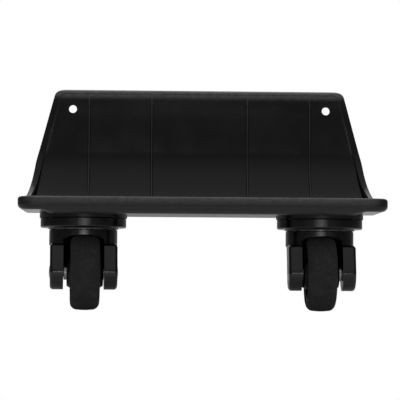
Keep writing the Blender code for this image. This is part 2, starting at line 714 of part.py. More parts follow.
def make_bearing_outer():
    """Outer ring with the shield that covers the balls on the outside."""
    shield = BEARING_TO - BEARING_SHIELD
    profile = [(BEARING_OUTER_IN, BEARING_FROM), (BEARING_RADIUS, BEARING_FROM), (BEARING_RADIUS, BEARING_TO),
               (BEARING_SHIELD_IN, BEARING_TO), (BEARING_SHIELD_IN, shield), (BEARING_OUTER_IN, shield)]
    return turned("bearing_outer", profile, SMALL_ROUND, along_x=True)


def make_wheel_core():
    """Hub with a collar on each side, web and rim in one moulding, with radial ribs across the web."""
    seat = BEARING_FROM - GAP
    seat_radius = BEARING_RADIUS + FIT
    bore = BEARING_OUTER_IN
    upper = [(seat_radius, COLLAR_X), (COLLAR_RADIUS, COLLAR_X), (CORE_HUB_RADIUS, CORE_HUB_HALF_WIDTH),
             (CORE_HUB_RADIUS, CORE_WEB_HALF), (CORE_RIM_IN, CORE_WEB_HALF),
             (CORE_RIM_IN, CORE_HALF_WIDTH), (CORE_RADIUS, CORE_HALF_WIDTH)]
    lower = [(radius, -x) for radius, x in reversed(upper)]
    profile = upper + lower + [(seat_radius, -seat), (bore, -seat), (bore, seat), (seat_radius, seat)]
    core = turned("core", profile, MIDDLE_ROUND, along_x=True)
    rib_from = (CORE_HUB_RADIUS + seat_radius) / 2
    rib_to = (CORE_RIM_IN + CORE_RADIUS) / 2
    outline = [(-CORE_RIB_HALF, rib_from), (CORE_RIB_HALF, rib_from),
               (CORE_RIB_HALF, rib_to), (-CORE_RIB_HALF, rib_to)]
    rib = prism("core_rib", outline, -CORE_RIB_REACH, CORE_RIB_REACH, across=(1, 0, 0))
    ribs = [moved_copy(rib, turn=math.tau * (i + 0.5) / CORE_RIBS, axis="X") for i in range(CORE_RIBS)]
    return combined(core, ribs, "UNION")


def make_tyre():
    """Tread with round shoulders, a slight crown and a fine line round its middle."""
    shoulder_x = WHEEL_HALF_WIDTH - TYRE_SHOULDER
    shoulder_radius = WHEEL_RADIUS - TREAD_CROWN - TYRE_SHOULDER
    shoulder = arc((shoulder_x, shoulder_radius), TYRE_SHOULDER, 0, math.pi / 2, CORNER_STEPS)
    right = [(TYRE_IN, CORE_HALF_WIDTH)] + [(radius, x) for x, radius in shoulder]
    right += [(WHEEL_RADIUS, TREAD_LINE_HALF)]
    left = [(radius, -x) for radius, x in reversed(right)]
    line = [(WHEEL_RADIUS - TREAD_LINE_DEPTH, 0)]
    return turned("tyre", right + line + left, LARGE_ROUND, along_x=True)


# Assembly

def make_materials():
    return {
        "shell": make_material("shell_plastic", (0.014, 0.014, 0.015), 0.5),
        "housing": make_material("housing_plastic", (0.012, 0.012, 0.013), 0.35),
        "fork": make_material("fork_plastic", (0.012, 0.012, 0.013), 0.38),
        "core": make_material("wheel_core_plastic", (0.018, 0.018, 0.019), 0.45),
        "tyre": make_material("tread_rubber", (0.016, 0.016, 0.016), 0.7),
        "steel": make_material("zinc_plated_steel", (0.62, 0.62, 0.60), 0.35, 1.0),
        "bearing": make_material("bearing_steel", (0.56, 0.57, 0.58), 0.22, 1.0),
        "cage": make_material("cage_nylon", (0.75, 0.73, 0.66), 0.5),
    }


def make_pieces():
    """Each mesh once, with its material's name."""
    return {
        "swivel_housing": (make_housing(), "housing"),
        "housing_screw": (make_housing_screw(), "steel"),
        "kingpin": (make_kingpin(), "steel"),
        "kingpin_washer": (make_washer(), "steel"),
        "kingpin_nut": (make_nut(), "steel"),
        "upper_race": (make_race(True), "bearing"),
        "lower_race": (make_race(False), "bearing"),
        "ball_ring": (make_ball_ring(), "cage"),
        "fork": (make_fork(), "fork"),
        "axle": (make_axle(), "steel"),
        "axle_nut": (make_axle_nut(), "steel"),
        "axle_spacer": (make_spacer(), "steel"),
        "bearing_inner": (make_bearing_inner(), "bearing"),
        "bearing_outer": (make_bearing_outer(), "bearing"),
        "wheel_core": (make_wheel_core(), "core"),
        "tyre": (make_tyre(), "tyre"),
    }


def assemble_caster(side, x, yaw, shift, pieces, materials):
    """One caster at its swivel axis: fixed pieces, then what swivels, then what turns on the axle."""
    mount = make_empty(side + "_caster", location=(x, 0, 0))
    swivel = make_empty(side + "_swivel_axis", parent=mount, yaw=yaw)
    axle_line = make_empty(side + "_axle_line", parent=swivel, location=(0, -TRAIL, AXLE_Z))
    wheel_middle = make_empty(side + "_wheel_middle", parent=axle_line, location=(shift, 0, 0))

    def put(kind, parent, suffix="", location=(0, 0, 0), rotation=(0, 0, 0)):
        mesh, finish = pieces[kind]
        place(side + "_" + kind + suffix, mesh, materials[finish], parent, location, rotation)

    for kind in ("swivel_housing", "kingpin", "kingpin_washer", "kingpin_nut", "upper_race"):
        put(kind, mount)
    for number, (dx, dy) in enumerate(SCREW_SPOTS, 1):
        put("housing_screw", mount, "_%d" % number, (dx, dy, 0))
    for kind in ("ball_ring", "lower_race", "fork"):
        put(kind, swivel)
    for kind in ("axle", "axle_nut"):
        put(kind, axle_line)
    for kind in ("wheel_core", "tyre"):
        put(kind, wheel_middle)
    for suffix, turn in (("_a", math.pi), ("_b", 0.0)):
        put("axle_spacer", axle_line, suffix, rotation=(0, 0, turn))
        for kind in ("bearing_inner", "bearing_outer"):
            put(kind, wheel_middle, suffix, rotation=(0, 0, turn))


def main():
    clear_scene()
    materials = make_materials()
    place("base_shell", make_shell(), materials["shell"])
    pieces = make_pieces()
    assemble_caster("left", -CASTER_X, LEFT_YAW, WHEEL_SHIFT, pieces, materials)
    assemble_caster("right", CASTER_X, RIGHT_YAW, -WHEEL_SHIFT, pieces, materials)


main()
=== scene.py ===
"""Looks of the two-wheel caster base: fine surfaces, materials, studio and camera.

Metres, +Z up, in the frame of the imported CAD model. The origin lies on the top face of the tray floor,
midway between the two swivel axes; the open side of the shell faces -Y.
"""

import json
import math

import bmesh
import bpy
import numpy as np
from mathutils import Matrix, Vector


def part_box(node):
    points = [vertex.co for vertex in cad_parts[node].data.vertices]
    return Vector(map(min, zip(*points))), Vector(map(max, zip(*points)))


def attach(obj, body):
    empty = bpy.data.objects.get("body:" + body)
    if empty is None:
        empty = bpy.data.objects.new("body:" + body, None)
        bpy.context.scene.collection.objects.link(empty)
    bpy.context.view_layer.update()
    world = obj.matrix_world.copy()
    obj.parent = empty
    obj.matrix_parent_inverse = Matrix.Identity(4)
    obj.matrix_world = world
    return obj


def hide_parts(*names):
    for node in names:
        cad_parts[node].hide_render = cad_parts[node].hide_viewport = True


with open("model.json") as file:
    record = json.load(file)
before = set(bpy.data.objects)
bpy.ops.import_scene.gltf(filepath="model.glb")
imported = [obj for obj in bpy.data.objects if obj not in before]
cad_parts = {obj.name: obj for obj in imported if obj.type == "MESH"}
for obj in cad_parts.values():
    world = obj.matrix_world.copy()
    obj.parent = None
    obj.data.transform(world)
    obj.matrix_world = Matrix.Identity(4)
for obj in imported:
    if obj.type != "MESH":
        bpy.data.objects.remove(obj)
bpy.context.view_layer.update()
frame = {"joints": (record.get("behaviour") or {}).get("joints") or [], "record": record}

# Driving dimensions, read from the frame
SHELL_LOW, SHELL_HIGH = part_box("base_shell")
JOINTS = {joint["name"]: joint for joint in frame["joints"]}
SIDES = ("left", "right")
SWIVEL_AT = {side: Vector(JOINTS[side + "_swivel_turn"]["pos_m"]) for side in SIDES}
AXLE_AT = {side: Vector(JOINTS[side + "_wheel_spin"]["pos_m"]) for side in SIDES}
AXLE_ALONG = {side: Vector(JOINTS[side + "_wheel_spin"]["axis"]) for side in SIDES}
YAW = {side: math.atan2(AXLE_ALONG[side].y, AXLE_ALONG[side].x) for side in SIDES}
CASTER_X = SWIVEL_AT["right"].x
AXLE_Z = AXLE_AT["left"].z
GROUND_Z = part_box("left_tyre")[0].z
WHEEL_RADIUS = AXLE_Z - GROUND_Z
TRAIL = (AXLE_AT["left"].xy - SWIVEL_AT["left"].xy).length

# Clearances
GAP = 0.0003
FIT = 0.00015

# Shell: a sheet bent into a tray, a wide cove and an upright panel
SHEET = 0.003
TRAY_FRONT = SHELL_LOW.y
HALF_WIDTH = SHELL_HIGH.x
TRAY_FLAT = 0.057
COVE_RADIUS = 0.045
PANEL_FLAT = 0.0375
PANEL_Y = TRAY_FRONT + TRAY_FLAT + COVE_RADIUS
ROLL_RADIUS = 0.007
ROLL_ANGLE = math.radians(70)
TAPER_START = 0.075
TAPER_RADIUS = 0.060
KINK_AT = 0.1207
KINK_RADIUS = 0.050
KINK_HALF_WIDTH = 0.1157
TOP_HALF_WIDTH = 0.1015
FRONT_CORNER = 0.010
TOP_CORNER = 0.009
COVE_START = TRAY_FLAT
COVE_END = COVE_START + COVE_RADIUS * math.pi / 2
ROLL_START = COVE_END + PANEL_FLAT
SHEET_LENGTH = ROLL_START + ROLL_RADIUS * ROLL_ANGLE

# Lip round the edge of the sheet
LIP_HEIGHT = 0.0081
LIP_THICKNESS = 0.0045
LIP_UNDER_RADIUS = 0.0045
LIP_OUTER_RADIUS = 0.0024
LIP_INNER_RADIUS = 0.0009
LIP_FILLET = 0.0016
LIP_FADE_START = 0.070
LIP_FADE_END = 0.138
LIP_LEAST = 0.08
# Shares of the lip's height at which its outer face is cut, so that it can lean
LIP_FACE_CUTS = [step / 12 for step in range(3, 8)]

# The outer face of the front lip leans inwards towards its top
LIP_LEAN = 0.0018
LIP_LEAN_FROM = -0.0005
LIP_LEAN_FADE = 0.006
LIP_LEAN_END = HALF_WIDTH - FRONT_CORNER

# The floor of the tray rises towards both ends, and the rise fades out in the cove
END_RISE = 0.0023
END_RISE_FROM = 0.0985
END_RISE_TO = 0.1080
END_RISE_CUTS = 12
END_RISE_FADE = 0.110

# Ribs and holes of the panel
RIB_X = (-0.0785, -0.034, 0.034, 0.0785)
RIB_WIDTH = 0.0018
RIB_TOP_WIDTH = 0.0008
RIB_HEIGHT = 0.0007
RIB_FOOT = 0.001
ABOVE_RIBS = 0.00105
RIB_FROM = 0.060
RIB_TO = 0.1615
SCREW_HOLE_X = 0.0902
SCREW_HOLE_Z = 0.0754
SCREW_HOLE_RADIUS = 0.00285
HOLE_EDGE = 0.00025

# Swivel housing
PAD_RADIUS = 0.0294
PAD_Z = -0.0050
PAD_TOP = -0.0003
HOUSING_RADIUS = 0.0288
HOUSING_EDGE = 0.0009
HOUSING_SMALL_EDGE = 0.0003
RACEWAY_FILLET = 0.0004
HOUSING_TOP = PAD_Z - GAP
HOUSING_BOTTOM = -0.0115
STEP_RADIUS = 0.0236
STEP_BOTTOM = -0.0125
HUB_RADIUS = 0.0095
RACEWAY_RADIUS = 0.022
RACEWAY_CEILING = -0.0070
POCKET_RADIUS = 0.0080
POCKET_FLOOR = -0.0072
KINGPIN_BORE = 0.00425
SCREW_SPOTS = ((-0.0205, -0.0143), (0.0205, -0.0143), (0.0205, 0.0143), (-0.0205, 0.0143))
SCREW_RADIUS = 0.0016
SCREW_HEAD_RADIUS = 0.0036
SCREW_HEAD_DEPTH = 0.0021
SCREW_END = -0.0106
SCREW_FACE = -GAP
SCREW_PITCH = 0.0011
SCREW_CORE_RADIUS = SCREW_RADIUS * 0.78
SCREW_POINT_RADIUS = SCREW_RADIUS * 0.4
THREAD_CREST = (0.45, 0.55)
SCREW_TURN = 0.7
RECESS_LENGTH = 0.0040
RECESS_WIDTH = 0.0009
RECESS_DEPTH = 0.0013

# Kingpin, washer and nut
KINGPIN_RADIUS = 0.004
KINGPIN_HEAD_RADIUS = 0.0065
KINGPIN_HEAD_TOP = -0.0155
KINGPIN_HEAD_BOTTOM = -0.0175
KINGPIN_END = -0.0006
WASHER_RADIUS = 0.0074
WASHER_THICKNESS = 0.0012
WASHER_LOW = POCKET_FLOOR + GAP
NUT_LOW = WASHER_LOW + WASHER_THICKNESS + GAP
NUT_FLATS = 0.0115
NUT_THICKNESS = 0.0042
NUT_FALL = 0.0006
NUT_FACE_INSET = 0.0001
NUT_LEAD_IN = 0.0005

# Swivel bearing
RACE_IN = 0.0135
RACE_OUT = 0.0200
RACE_THICKNESS = 0.0020
RACE_WEB = 0.0008
BALL_CIRCLE = 0.01675
BALL_Z = -0.0102
BALL_RADIUS = 0.0018
GROOVE_RADIUS = 0.00205
BALLS = 16
CAGE_IN = 0.0147
CAGE_OUT = 0.0188
CAGE_THICKNESS = 0.0011

# Fork
CROWN_RADIUS = 0.0229
CROWN_TOP = STEP_BOTTOM - GAP
CROWN_BOTTOM = -0.0235
CROWN_EDGE = 0.0007
CROWN_WEB_BOTTOM = KINGPIN_HEAD_TOP + GAP
ARM_IN = 0.0135
ARM_OUT = 0.0223
ARM_EDGE = 0.0022
ARM_SPARE = 0.0010
ARM_ROOT_Z = -0.0215
SHOULDER = (-0.0230, -0.0230)
SHOULDER_RADIUS = 0.0022
REAR_TOP_Y = 0.0020
REAR_WAIST = (-0.0030, -0.0350)
WAIST_RADIUS = 0.008
LUG_RADIUS = 0.0114
LUG_START = math.radians(-10)
LUG_END = math.radians(-194)
HOOD_HALF_WIDTH = 0.0160
HOOD_THICKNESS = 0.0026
HOOD_TOP_Z = -0.0207
HOOD_BOTTOM_Z = -0.0430
HOOD_FRONT_Y = -0.0120
HOOD_CORNER = 0.0022
WHEEL_ROOM = 0.0259
WHEEL_ROOM_DROP = 0.0038
WHEEL_ROOM_POWER = 2.5
HEAD_SEAT_X = 0.0209
NUT_SEAT_X = 0.0189
SEAT_RADIUS = 0.0056
FORK_FILLET = 0.0006

# Axle, its nut and the spacers
AXLE_RADIUS = 0.003
AXLE_HEAD_RADIUS = 0.0053
AXLE_FACE_X = 0.0229
AXLE_END_X = 0.0222
SPACER_RADIUS = 0.005
SMALL_EDGE = 0.0004

# Wheel
WHEEL_HALF_WIDTH = 0.0097
WHEEL_SHIFT = {"left": 0.0008, "right": -0.0008}
CORE_RADIUS = 0.0196
CORE_HALF_WIDTH = 0.0088
CORE_RIM_IN = 0.0172
CORE_HUB_RADIUS = 0.0104
CORE_HUB_HALF_WIDTH = 0.0098
COLLAR_RADIUS = 0.0090
COLLAR_X = 0.0120
COLLAR_EDGE = 0.0003
CORE_WEB_HALF = 0.0017
CORE_WEB_FILLET = 0.0010
CORE_RIBS = 6
CORE_RIB_HALF = 0.0008
CORE_RIB_REACH = 0.0070
TYRE_IN = 0.0199
TYRE_FOOT = 0.0003
TYRE_SHOULDER = 0.0048
TREAD_CROWN = 0.0003
TREAD_LINE_HALF = 0.00025
TREAD_LINE_DEPTH = 0.00018
BEARING_RADIUS = 0.008
BEARING_INNER_OUT = 0.0047
BEARING_OUTER_IN = 0.0066
BEARING_SHIELD_IN = 0.0050
BEARING_SHIELD = 0.0008
BEARING_LAND = 0.0011
BEARING_LAND_FOOT = BEARING_RADIUS - 0.0014
BEARING_FROM = 0.0047
BEARING_TO = 0.0097

# Segments round turned pieces and along arcs
FINE_ROUND = 160
PLAIN_ROUND = 96
SMALL_ROUND = 48
ARC_STEPS = 10
CORNER_STEPS = 8
EDGE_STEPS = 5
SOFT_STEPS = 4
LUG_STEPS = 36
HOOD_STEPS = 24
HOOD_CORNER_STEPS = 6
ARM_EDGE_STEPS = 6
WHEEL_ROOM_STEPS = 20
COVE_CUTS = 44
ROLL_CUTS = 14
BEVEL_STEPS = 3
BEVEL_ANGLE = math.radians(40)
SMOOTH_ANGLE = math.radians(32)
MERGE_DISTANCE = 1e-7
BISECT_TOLERANCE = 1e-6
SMALLEST_NORMAL = 1e-20


# Shared shape tools

def share_between(value, start, end):
    """0 at start and beyond it, 1 at end and beyond it, and even in between."""
    return min(max((value - start) / (end - start), 0), 1)


def eased(share):
    """A share that starts and ends slowly."""
    return share * share * (3 - 2 * share)


def arc(centre, radius, start, end, steps):
    """Points on an arc, from the angle start to the angle end, both included."""
    angles = [start + (end - start) * i / steps for i in range(steps + 1)]
    return [(centre[0] + radius * math.cos(a), centre[1] + radius * math.sin(a)) for a in angles]


def rounded(corners, steps):
    """A closed outline from corners (x, y, radius), each corner with a radius turned into an arc."""
    outline = []
    for i, (x, y, radius) in enumerate(corners):
        here = Vector((x, y))
        if radius == 0:
            outline.append((x, y))
            continue
        back = (Vector(corners[i - 1][:2]) - here).normalized()
        ahead = (Vector(corners[(i + 1) % len(corners)][:2]) - here).normalized()
        half = back.angle(ahead) / 2
        centre = here + (back + ahead).normalized() * radius / math.sin(half)
        start = here + back * radius / math.tan(half) - centre
        end = here + ahead * radius / math.tan(half) - centre
        turn = start.angle_signed(end)
        for k in range(steps + 1):
            spoke = start.copy()
            spoke.rotate(Matrix.Rotation(-turn * k / steps, 2))
            outline.append(tuple(centre + spoke))
    return outline


def placed(name, data):
    """A new object with this data, linked into the scene."""
    made = bpy.data.objects.new(name, data)
    bpy.context.scene.collection.objects.link(made)
    return made


def as_mesh(edit, name):
    """The mesh of a bmesh, which is freed."""
    mesh = bpy.data.meshes.new(name)
    edit.to_mesh(mesh)
    edit.free()
    return mesh


def finished(edit, name):
    """The mesh of a bmesh, with merged points and its faces pointing out."""
    bmesh.ops.remove_doubles(edit, verts=edit.verts, dist=MERGE_DISTANCE)
    bmesh.ops.recalc_face_normals(edit, faces=edit.faces)
    return as_mesh(edit, name)


def turned(profile, segments, along_x=False):
    """A closed profile of (radius, height) points turned round Z, or round X for the wheel's pieces."""
    edit = bmesh.new()
    points = [edit.verts.new((radius, 0, height)) for radius, height in profile]
    edges = [edit.edges.new((points[i - 1], points[i])) for i in range(len(points))
             if profile[i - 1][0] > 0 or profile[i][0] > 0]
    bmesh.ops.spin(edit, geom=points + edges, cent=(0, 0, 0), axis=(0, 0, 1),
                   angle=math.tau, steps=segments, use_merge=True)
    if along_x:
        bmesh.ops.rotate(edit, verts=edit.verts, cent=(0, 0, 0),
                         matrix=Matrix.Rotation(math.radians(90), 3, "Y"))
    return finished(edit, "turned")


def extruded(corners, step, name):
    """A flat outline of (x, y, z) corners extruded by a step."""
    edit = bmesh.new()
    face = edit.faces.new([edit.verts.new(corner) for corner in corners])
    grown = bmesh.ops.extrude_face_region(edit, geom=[face], use_keep_orig=True)
    moved = [item for item in grown["geom"] if isinstance(item, bmesh.types.BMVert)]
    bmesh.ops.translate(edit, verts=moved, vec=step)
    return finished(edit, name)


def prism(outline, low, high, along_x=False):
    """An outline extruded from low to high along Z, or along X with the outline in Y and Z."""
    if along_x:
        return extruded([(low, u, v) for u, v in outline], (high - low, 0, 0), "prism")
    return extruded([(u, v, low) for u, v in outline], (0, 0, high - low), "prism")


def moved_copy(mesh, shift=(0, 0, 0), turn=0.0, axis="Z"):
    """A copy of a mesh, turned about an axis through the origin and then moved."""
    copied = mesh.copy()
    copied.transform(Matrix.Translation(shift) @ Matrix.Rotation(turn, 4, axis))
    return copied


def combined(mesh, tools, operation):
    """The mesh after one Boolean with each tool mesh, in order."""
    base = placed("base", mesh)
    helpers = [base]
    for tool in tools:
        helper = placed("tool", tool)
        helpers.append(helper)
        step = base.modifiers.new("step", "BOOLEAN")
        step.operation = operation
        step.solver = "EXACT"
        step.object = helper
    return applied(base, helpers)


def bevelled(mesh, width):
    """The mesh with its sharp edges rounded over."""
    base = placed("base", mesh)
    step = base.modifiers.new("step", "BEVEL")
    step.width = width
    step.segments = BEVEL_STEPS
    step.limit_method = "ANGLE"
    step.angle_limit = BEVEL_ANGLE
    step.miter_outer = "MITER_ARC"
    return applied(base, [base])


def applied(base, helpers):
    """The base object's mesh with its modifiers applied; the helpers are removed."""
    bpy.context.view_layer.update()
    graph = bpy.context.evaluated_depsgraph_get()
    result = bpy.data.meshes.new_from_object(base.evaluated_get(graph))
    for helper in helpers:
        bpy.data.objects.remove(helper, do_unlink=True)
    return result


def ring_profile(inner, outer, low, high):
    """Section of a ring, or of a cylinder where inner is 0."""
    return [(inner, low), (outer, low), (outer, high), (inner, high)]


def soft_turned(corners, edge, along_x=False):
    """A turned profile of (radius, height) corners, each corner off the axis rounded by the same radius."""
    profile = rounded([(r, h, edge if r > 0 else 0) for r, h in corners], SOFT_STEPS)
    return turned(profile, PLAIN_ROUND, along_x)


# Shell

def sheet_point(x, along, height):
    """Where a point of the flat sheet lies once it is bent: along from the front rim, height above it."""
    if along <= COVE_START:
        return Vector((x, TRAY_FRONT + along, height))
    if along <= COVE_END:
        angle = (along - COVE_START) / COVE_RADIUS
        reach = COVE_RADIUS - height
        return Vector((x, TRAY_FRONT + TRAY_FLAT + reach * math.sin(angle),
                       COVE_RADIUS - reach * math.cos(angle)))
    if along <= ROLL_START:
        return Vector((x, PANEL_Y - height, COVE_RADIUS + along - COVE_END))
    angle = (along - ROLL_START) / ROLL_RADIUS
    reach = ROLL_RADIUS + height
    return Vector((x, PANEL_Y + ROLL_RADIUS - reach * math.cos(angle),
                   COVE_RADIUS + PANEL_FLAT + reach * math.sin(angle)))


def lip_share(along):
    """Share of the lip's full height at this place along the sheet."""
    return 1 - (1 - LIP_LEAST) * eased(share_between(along, LIP_FADE_START, LIP_FADE_END))


def end_rise(x, along, height):
    """How far a point of the sheet is lifted near the ends; the top of the lip stays where it is."""
    outwards = eased(share_between(abs(x), END_RISE_FROM, END_RISE_TO))
    depth = (LIP_HEIGHT - height) / (LIP_HEIGHT + SHEET)
    return END_RISE * outwards * share_between(along, END_RISE_FADE, COVE_START) * depth


def lip_lean(x, along, height):
    """How far a point of the front lip is set back; the lean fades out at the corners."""
    climb = max(height - LIP_LEAN_FROM, 0) / (LIP_HEIGHT - LIP_LEAN_FROM)
    outside = max(1 - along / LIP_THICKNESS, 0)
    middle = share_between(abs(x), LIP_LEAN_END, LIP_LEAN_END - LIP_LEAN_FADE)
    return LIP_LEAN * climb * climb * outside * middle


def sheet_outline():
    """Outline of the flat sheet, anticlockwise, as (x, along) points."""
    right = [(HALF_WIDTH, 0, FRONT_CORNER), (HALF_WIDTH, TAPER_START, TAPER_RADIUS),
             (KINK_HALF_WIDTH, KINK_AT, KINK_RADIUS), (TOP_HALF_WIDTH, SHEET_LENGTH, TOP_CORNER)]
    left = [(-x, along, radius) for x, along, radius in reversed(right)]
    return rounded(right + left, ARC_STEPS)


def inset(outline, distance):
    """The outline moved in by a distance, each point along the bisector of its two sides."""
    result = []
    for i, point in enumerate(outline):
        here = Vector(point)
        before = (here - Vector(outline[i - 1])).normalized()
        after = (Vector(outline[(i + 1) % len(outline)]) - here).normalized()
        first = Vector((-before.y, before.x))
        second = Vector((-after.y, after.x))
        result.append(here + (first + second) * distance / (1 + first.dot(second)))
    return result


def edge_profile():
    """Section through the edge of the sheet, as (inset, height): under face, lip, top face."""
    fillet_centre = (LIP_THICKNESS + LIP_FILLET, LIP_FILLET)
    under_centre = (LIP_UNDER_RADIUS, LIP_UNDER_RADIUS - SHEET)
    nose_centre = (LIP_OUTER_RADIUS, LIP_HEIGHT - LIP_OUTER_RADIUS)
    inner_centre = (LIP_THICKNESS - LIP_INNER_RADIUS, LIP_HEIGHT - LIP_INNER_RADIUS)
    under = arc(under_centre, LIP_UNDER_RADIUS, -math.pi / 2, -math.pi, ARC_STEPS)
    face = [(0, LIP_HEIGHT * share) for share in LIP_FACE_CUTS]
    nose = arc(nose_centre, LIP_OUTER_RADIUS, math.pi, math.pi / 2, ARC_STEPS)
    inner = arc(inner_centre, LIP_INNER_RADIUS, math.pi / 2, 0, ARC_STEPS // 2)
    foot = arc(fillet_centre, LIP_FILLET, math.pi, 1.5 * math.pi, ARC_STEPS // 2)
    return under + face + nose + inner + foot


def flat_sheet():
    """The sheet before it is bent, with its lip: loops of points joined edge to edge."""
    outline = sheet_outline()
    edit = bmesh.new()
    loops = [[edit.verts.new((*point, height)) for point in inset(outline, distance)]
             for distance, height in edge_profile()]
    for lower, upper in zip(loops, loops[1:]):
        for i in range(len(outline)):
            edit.faces.new((lower[i - 1], lower[i], upper[i], upper[i - 1]))
    edit.faces.new(reversed(loops[0]))
    edit.faces.new(loops[-1])
    return finished(edit, "flat_sheet")


def flat_rib(x):
    """One low rib on the inner face of the flat sheet, narrower at its top."""
    wide = RIB_WIDTH / 2
    narrow = RIB_TOP_WIDTH / 2
    section = [(-wide, -RIB_FOOT), (wide, -RIB_FOOT), (wide, 0), (narrow, RIB_HEIGHT),
               (-narrow, RIB_HEIGHT), (-wide, 0)]
    corners = [(x + across, RIB_FROM, height) for across, height in section]
    return extruded(corners, (0, RIB_TO - RIB_FROM, 0), "flat_rib")


def panel_hole(x):
    """Cutter for a plain hole with a small chamfer on both faces."""
    along = COVE_END + SCREW_HOLE_Z - COVE_RADIUS
    wide = SCREW_HOLE_RADIUS + HOLE_EDGE
    profile = [(0, -SHEET * 2), (wide, -SHEET * 2), (wide, -SHEET), (SCREW_HOLE_RADIUS, -SHEET + HOLE_EDGE),
               (SCREW_HOLE_RADIUS, -HOLE_EDGE), (wide, 0), (wide, SHEET * 2), (0, SHEET * 2)]
    return moved_copy(turned(profile, SMALL_ROUND), (x, along, 0))


def bent(mesh):
    """The flat sheet cut across wherever it bends, then bent into the shell."""
    edit = bmesh.new()
    edit.from_mesh(mesh)
    cuts = [COVE_START + (COVE_END - COVE_START) * i / COVE_CUTS for i in range(COVE_CUTS + 1)]
    cuts += [ROLL_START + (SHEET_LENGTH - ROLL_START) * i / ROLL_CUTS for i in range(ROLL_CUTS)]
    cuts += [LIP_FADE_END]
    across = [END_RISE_FROM + (END_RISE_TO - END_RISE_FROM) * i / END_RISE_CUTS
              for i in range(END_RISE_CUTS + 1)]
    across += [LIP_LEAN_END, LIP_LEAN_END - LIP_LEAN_FADE]
    planes = [((0, along, 0), (0, 1, 0)) for along in cuts]
    planes += [((side * x, 0, 0), (1, 0, 0)) for x in across for side in (1, -1)]
    for place, facing in planes:
        bmesh.ops.bisect_plane(edit, geom=edit.verts[:] + edit.edges[:] + edit.faces[:],
                               dist=BISECT_TOLERANCE, plane_co=place, plane_no=facing)
    near_rib = max(RIB_X) + RIB_WIDTH
    for vert in edit.verts:
        x, along, height = vert.co
        on_lip = abs(x) > near_rib or height > ABOVE_RIBS or along > RIB_TO + RIB_WIDTH
        if height > 0 and on_lip:
            height *= lip_share(along)
        set_back = along + lip_lean(x, along, height)
        vert.co = sheet_point(x, set_back, height + end_rise(x, along, height))
    return finished(edit, "bent")


def screw_hole_profile():
    """Countersunk hole through the tray floor."""
    shank = SCREW_RADIUS + FIT * 2
    head = SCREW_HEAD_RADIUS + GAP
    return [(0, PAD_Z * 2), (shank, PAD_Z * 2), (shank, -SCREW_HEAD_DEPTH - GAP * 2), (head, -GAP - FIT),
            (head, SHEET), (0, SHEET)]


def make_shell():
    """The L-shaped shell with its lip, ribs, caster pads and holes."""
    sheet = combined(flat_sheet(), [flat_rib(x) for x in RIB_X], "UNION")
    sheet = combined(sheet, [panel_hole(-SCREW_HOLE_X), panel_hole(SCREW_HOLE_X)], "DIFFERENCE")
    shell = bent(sheet)
    pad = turned(ring_profile(0, PAD_RADIUS, PAD_Z, PAD_TOP), FINE_ROUND)
    pads = [moved_copy(pad, (x, 0, 0)) for x in (-CASTER_X, CASTER_X)]
    shell = combined(shell, pads, "UNION")
    access = turned(ring_profile(0, POCKET_RADIUS + GAP, PAD_Z * 2, SHEET), PLAIN_ROUND)
    drill = turned(screw_hole_profile(), SMALL_ROUND)
    cutters = []
    for x in (-CASTER_X, CASTER_X):
        cutters.append(moved_copy(access, (x, 0, 0)))
        cutters += [moved_copy(drill, (x + dx, dy, 0)) for dx, dy in SCREW_SPOTS]
    return combined(shell, cutters, "DIFFERENCE")


# Swivel housing and its fastenings

def make_housing():
    """Mount disc with a step below it, a hub for the kingpin and a raceway recess between them."""
    edge = HOUSING_EDGE
    small = HOUSING_SMALL_EDGE
    corners = [(HUB_RADIUS, STEP_BOTTOM, small), (HUB_RADIUS, RACEWAY_CEILING, RACEWAY_FILLET),
               (RACEWAY_RADIUS, RACEWAY_CEILING, RACEWAY_FILLET), (RACEWAY_RADIUS, STEP_BOTTOM, small),
               (STEP_RADIUS, STEP_BOTTOM, small), (STEP_RADIUS, HOUSING_BOTTOM, small),
               (HOUSING_RADIUS, HOUSING_BOTTOM, edge), (HOUSING_RADIUS, HOUSING_TOP, edge / 2),
               (POCKET_RADIUS, HOUSING_TOP, small), (POCKET_RADIUS, POCKET_FLOOR, 0),
               (KINGPIN_BORE, POCKET_FLOOR, 0), (KINGPIN_BORE, STEP_BOTTOM, small)]
    housing = turned(rounded(corners, EDGE_STEPS), FINE_ROUND)
    drill = turned(ring_profile(0, SCREW_RADIUS + FIT, SCREW_END - GAP, 0), SMALL_ROUND)
    return combined(housing, [moved_copy(drill, (x, y, 0)) for x, y in SCREW_SPOTS], "DIFFERENCE")


def make_housing_screw():
    """Countersunk screw with thread ridges and a cross recess in its head."""
    profile = [(0, SCREW_END), (SCREW_POINT_RADIUS, SCREW_END + SCREW_RADIUS / 2)]
    z = SCREW_END + SCREW_RADIUS
    while z + SCREW_PITCH < SCREW_FACE - SCREW_HEAD_DEPTH:
        profile += [(SCREW_CORE_RADIUS, z), (SCREW_RADIUS, z + SCREW_PITCH * THREAD_CREST[0]),
                    (SCREW_RADIUS, z + SCREW_PITCH * THREAD_CREST[1])]
        z += SCREW_PITCH
    profile += [(SCREW_CORE_RADIUS, z), (SCREW_RADIUS, SCREW_FACE - SCREW_HEAD_DEPTH),
                (SCREW_HEAD_RADIUS, SCREW_FACE - FIT), (SCREW_HEAD_RADIUS - FIT, SCREW_FACE),
                (0, SCREW_FACE)]
    body = turned(profile, SMALL_ROUND)
    long = RECESS_LENGTH / 2
    wide = RECESS_WIDTH / 2
    arm = [(wide, wide), (wide, long), (-wide, long)]
    cross = []
    for _ in range(4):
        cross += arm
        arm = [(-y, x) for x, y in arm]
    recess = prism(cross, SCREW_FACE - RECESS_DEPTH, SHEET)
    return combined(body, [recess], "DIFFERENCE")


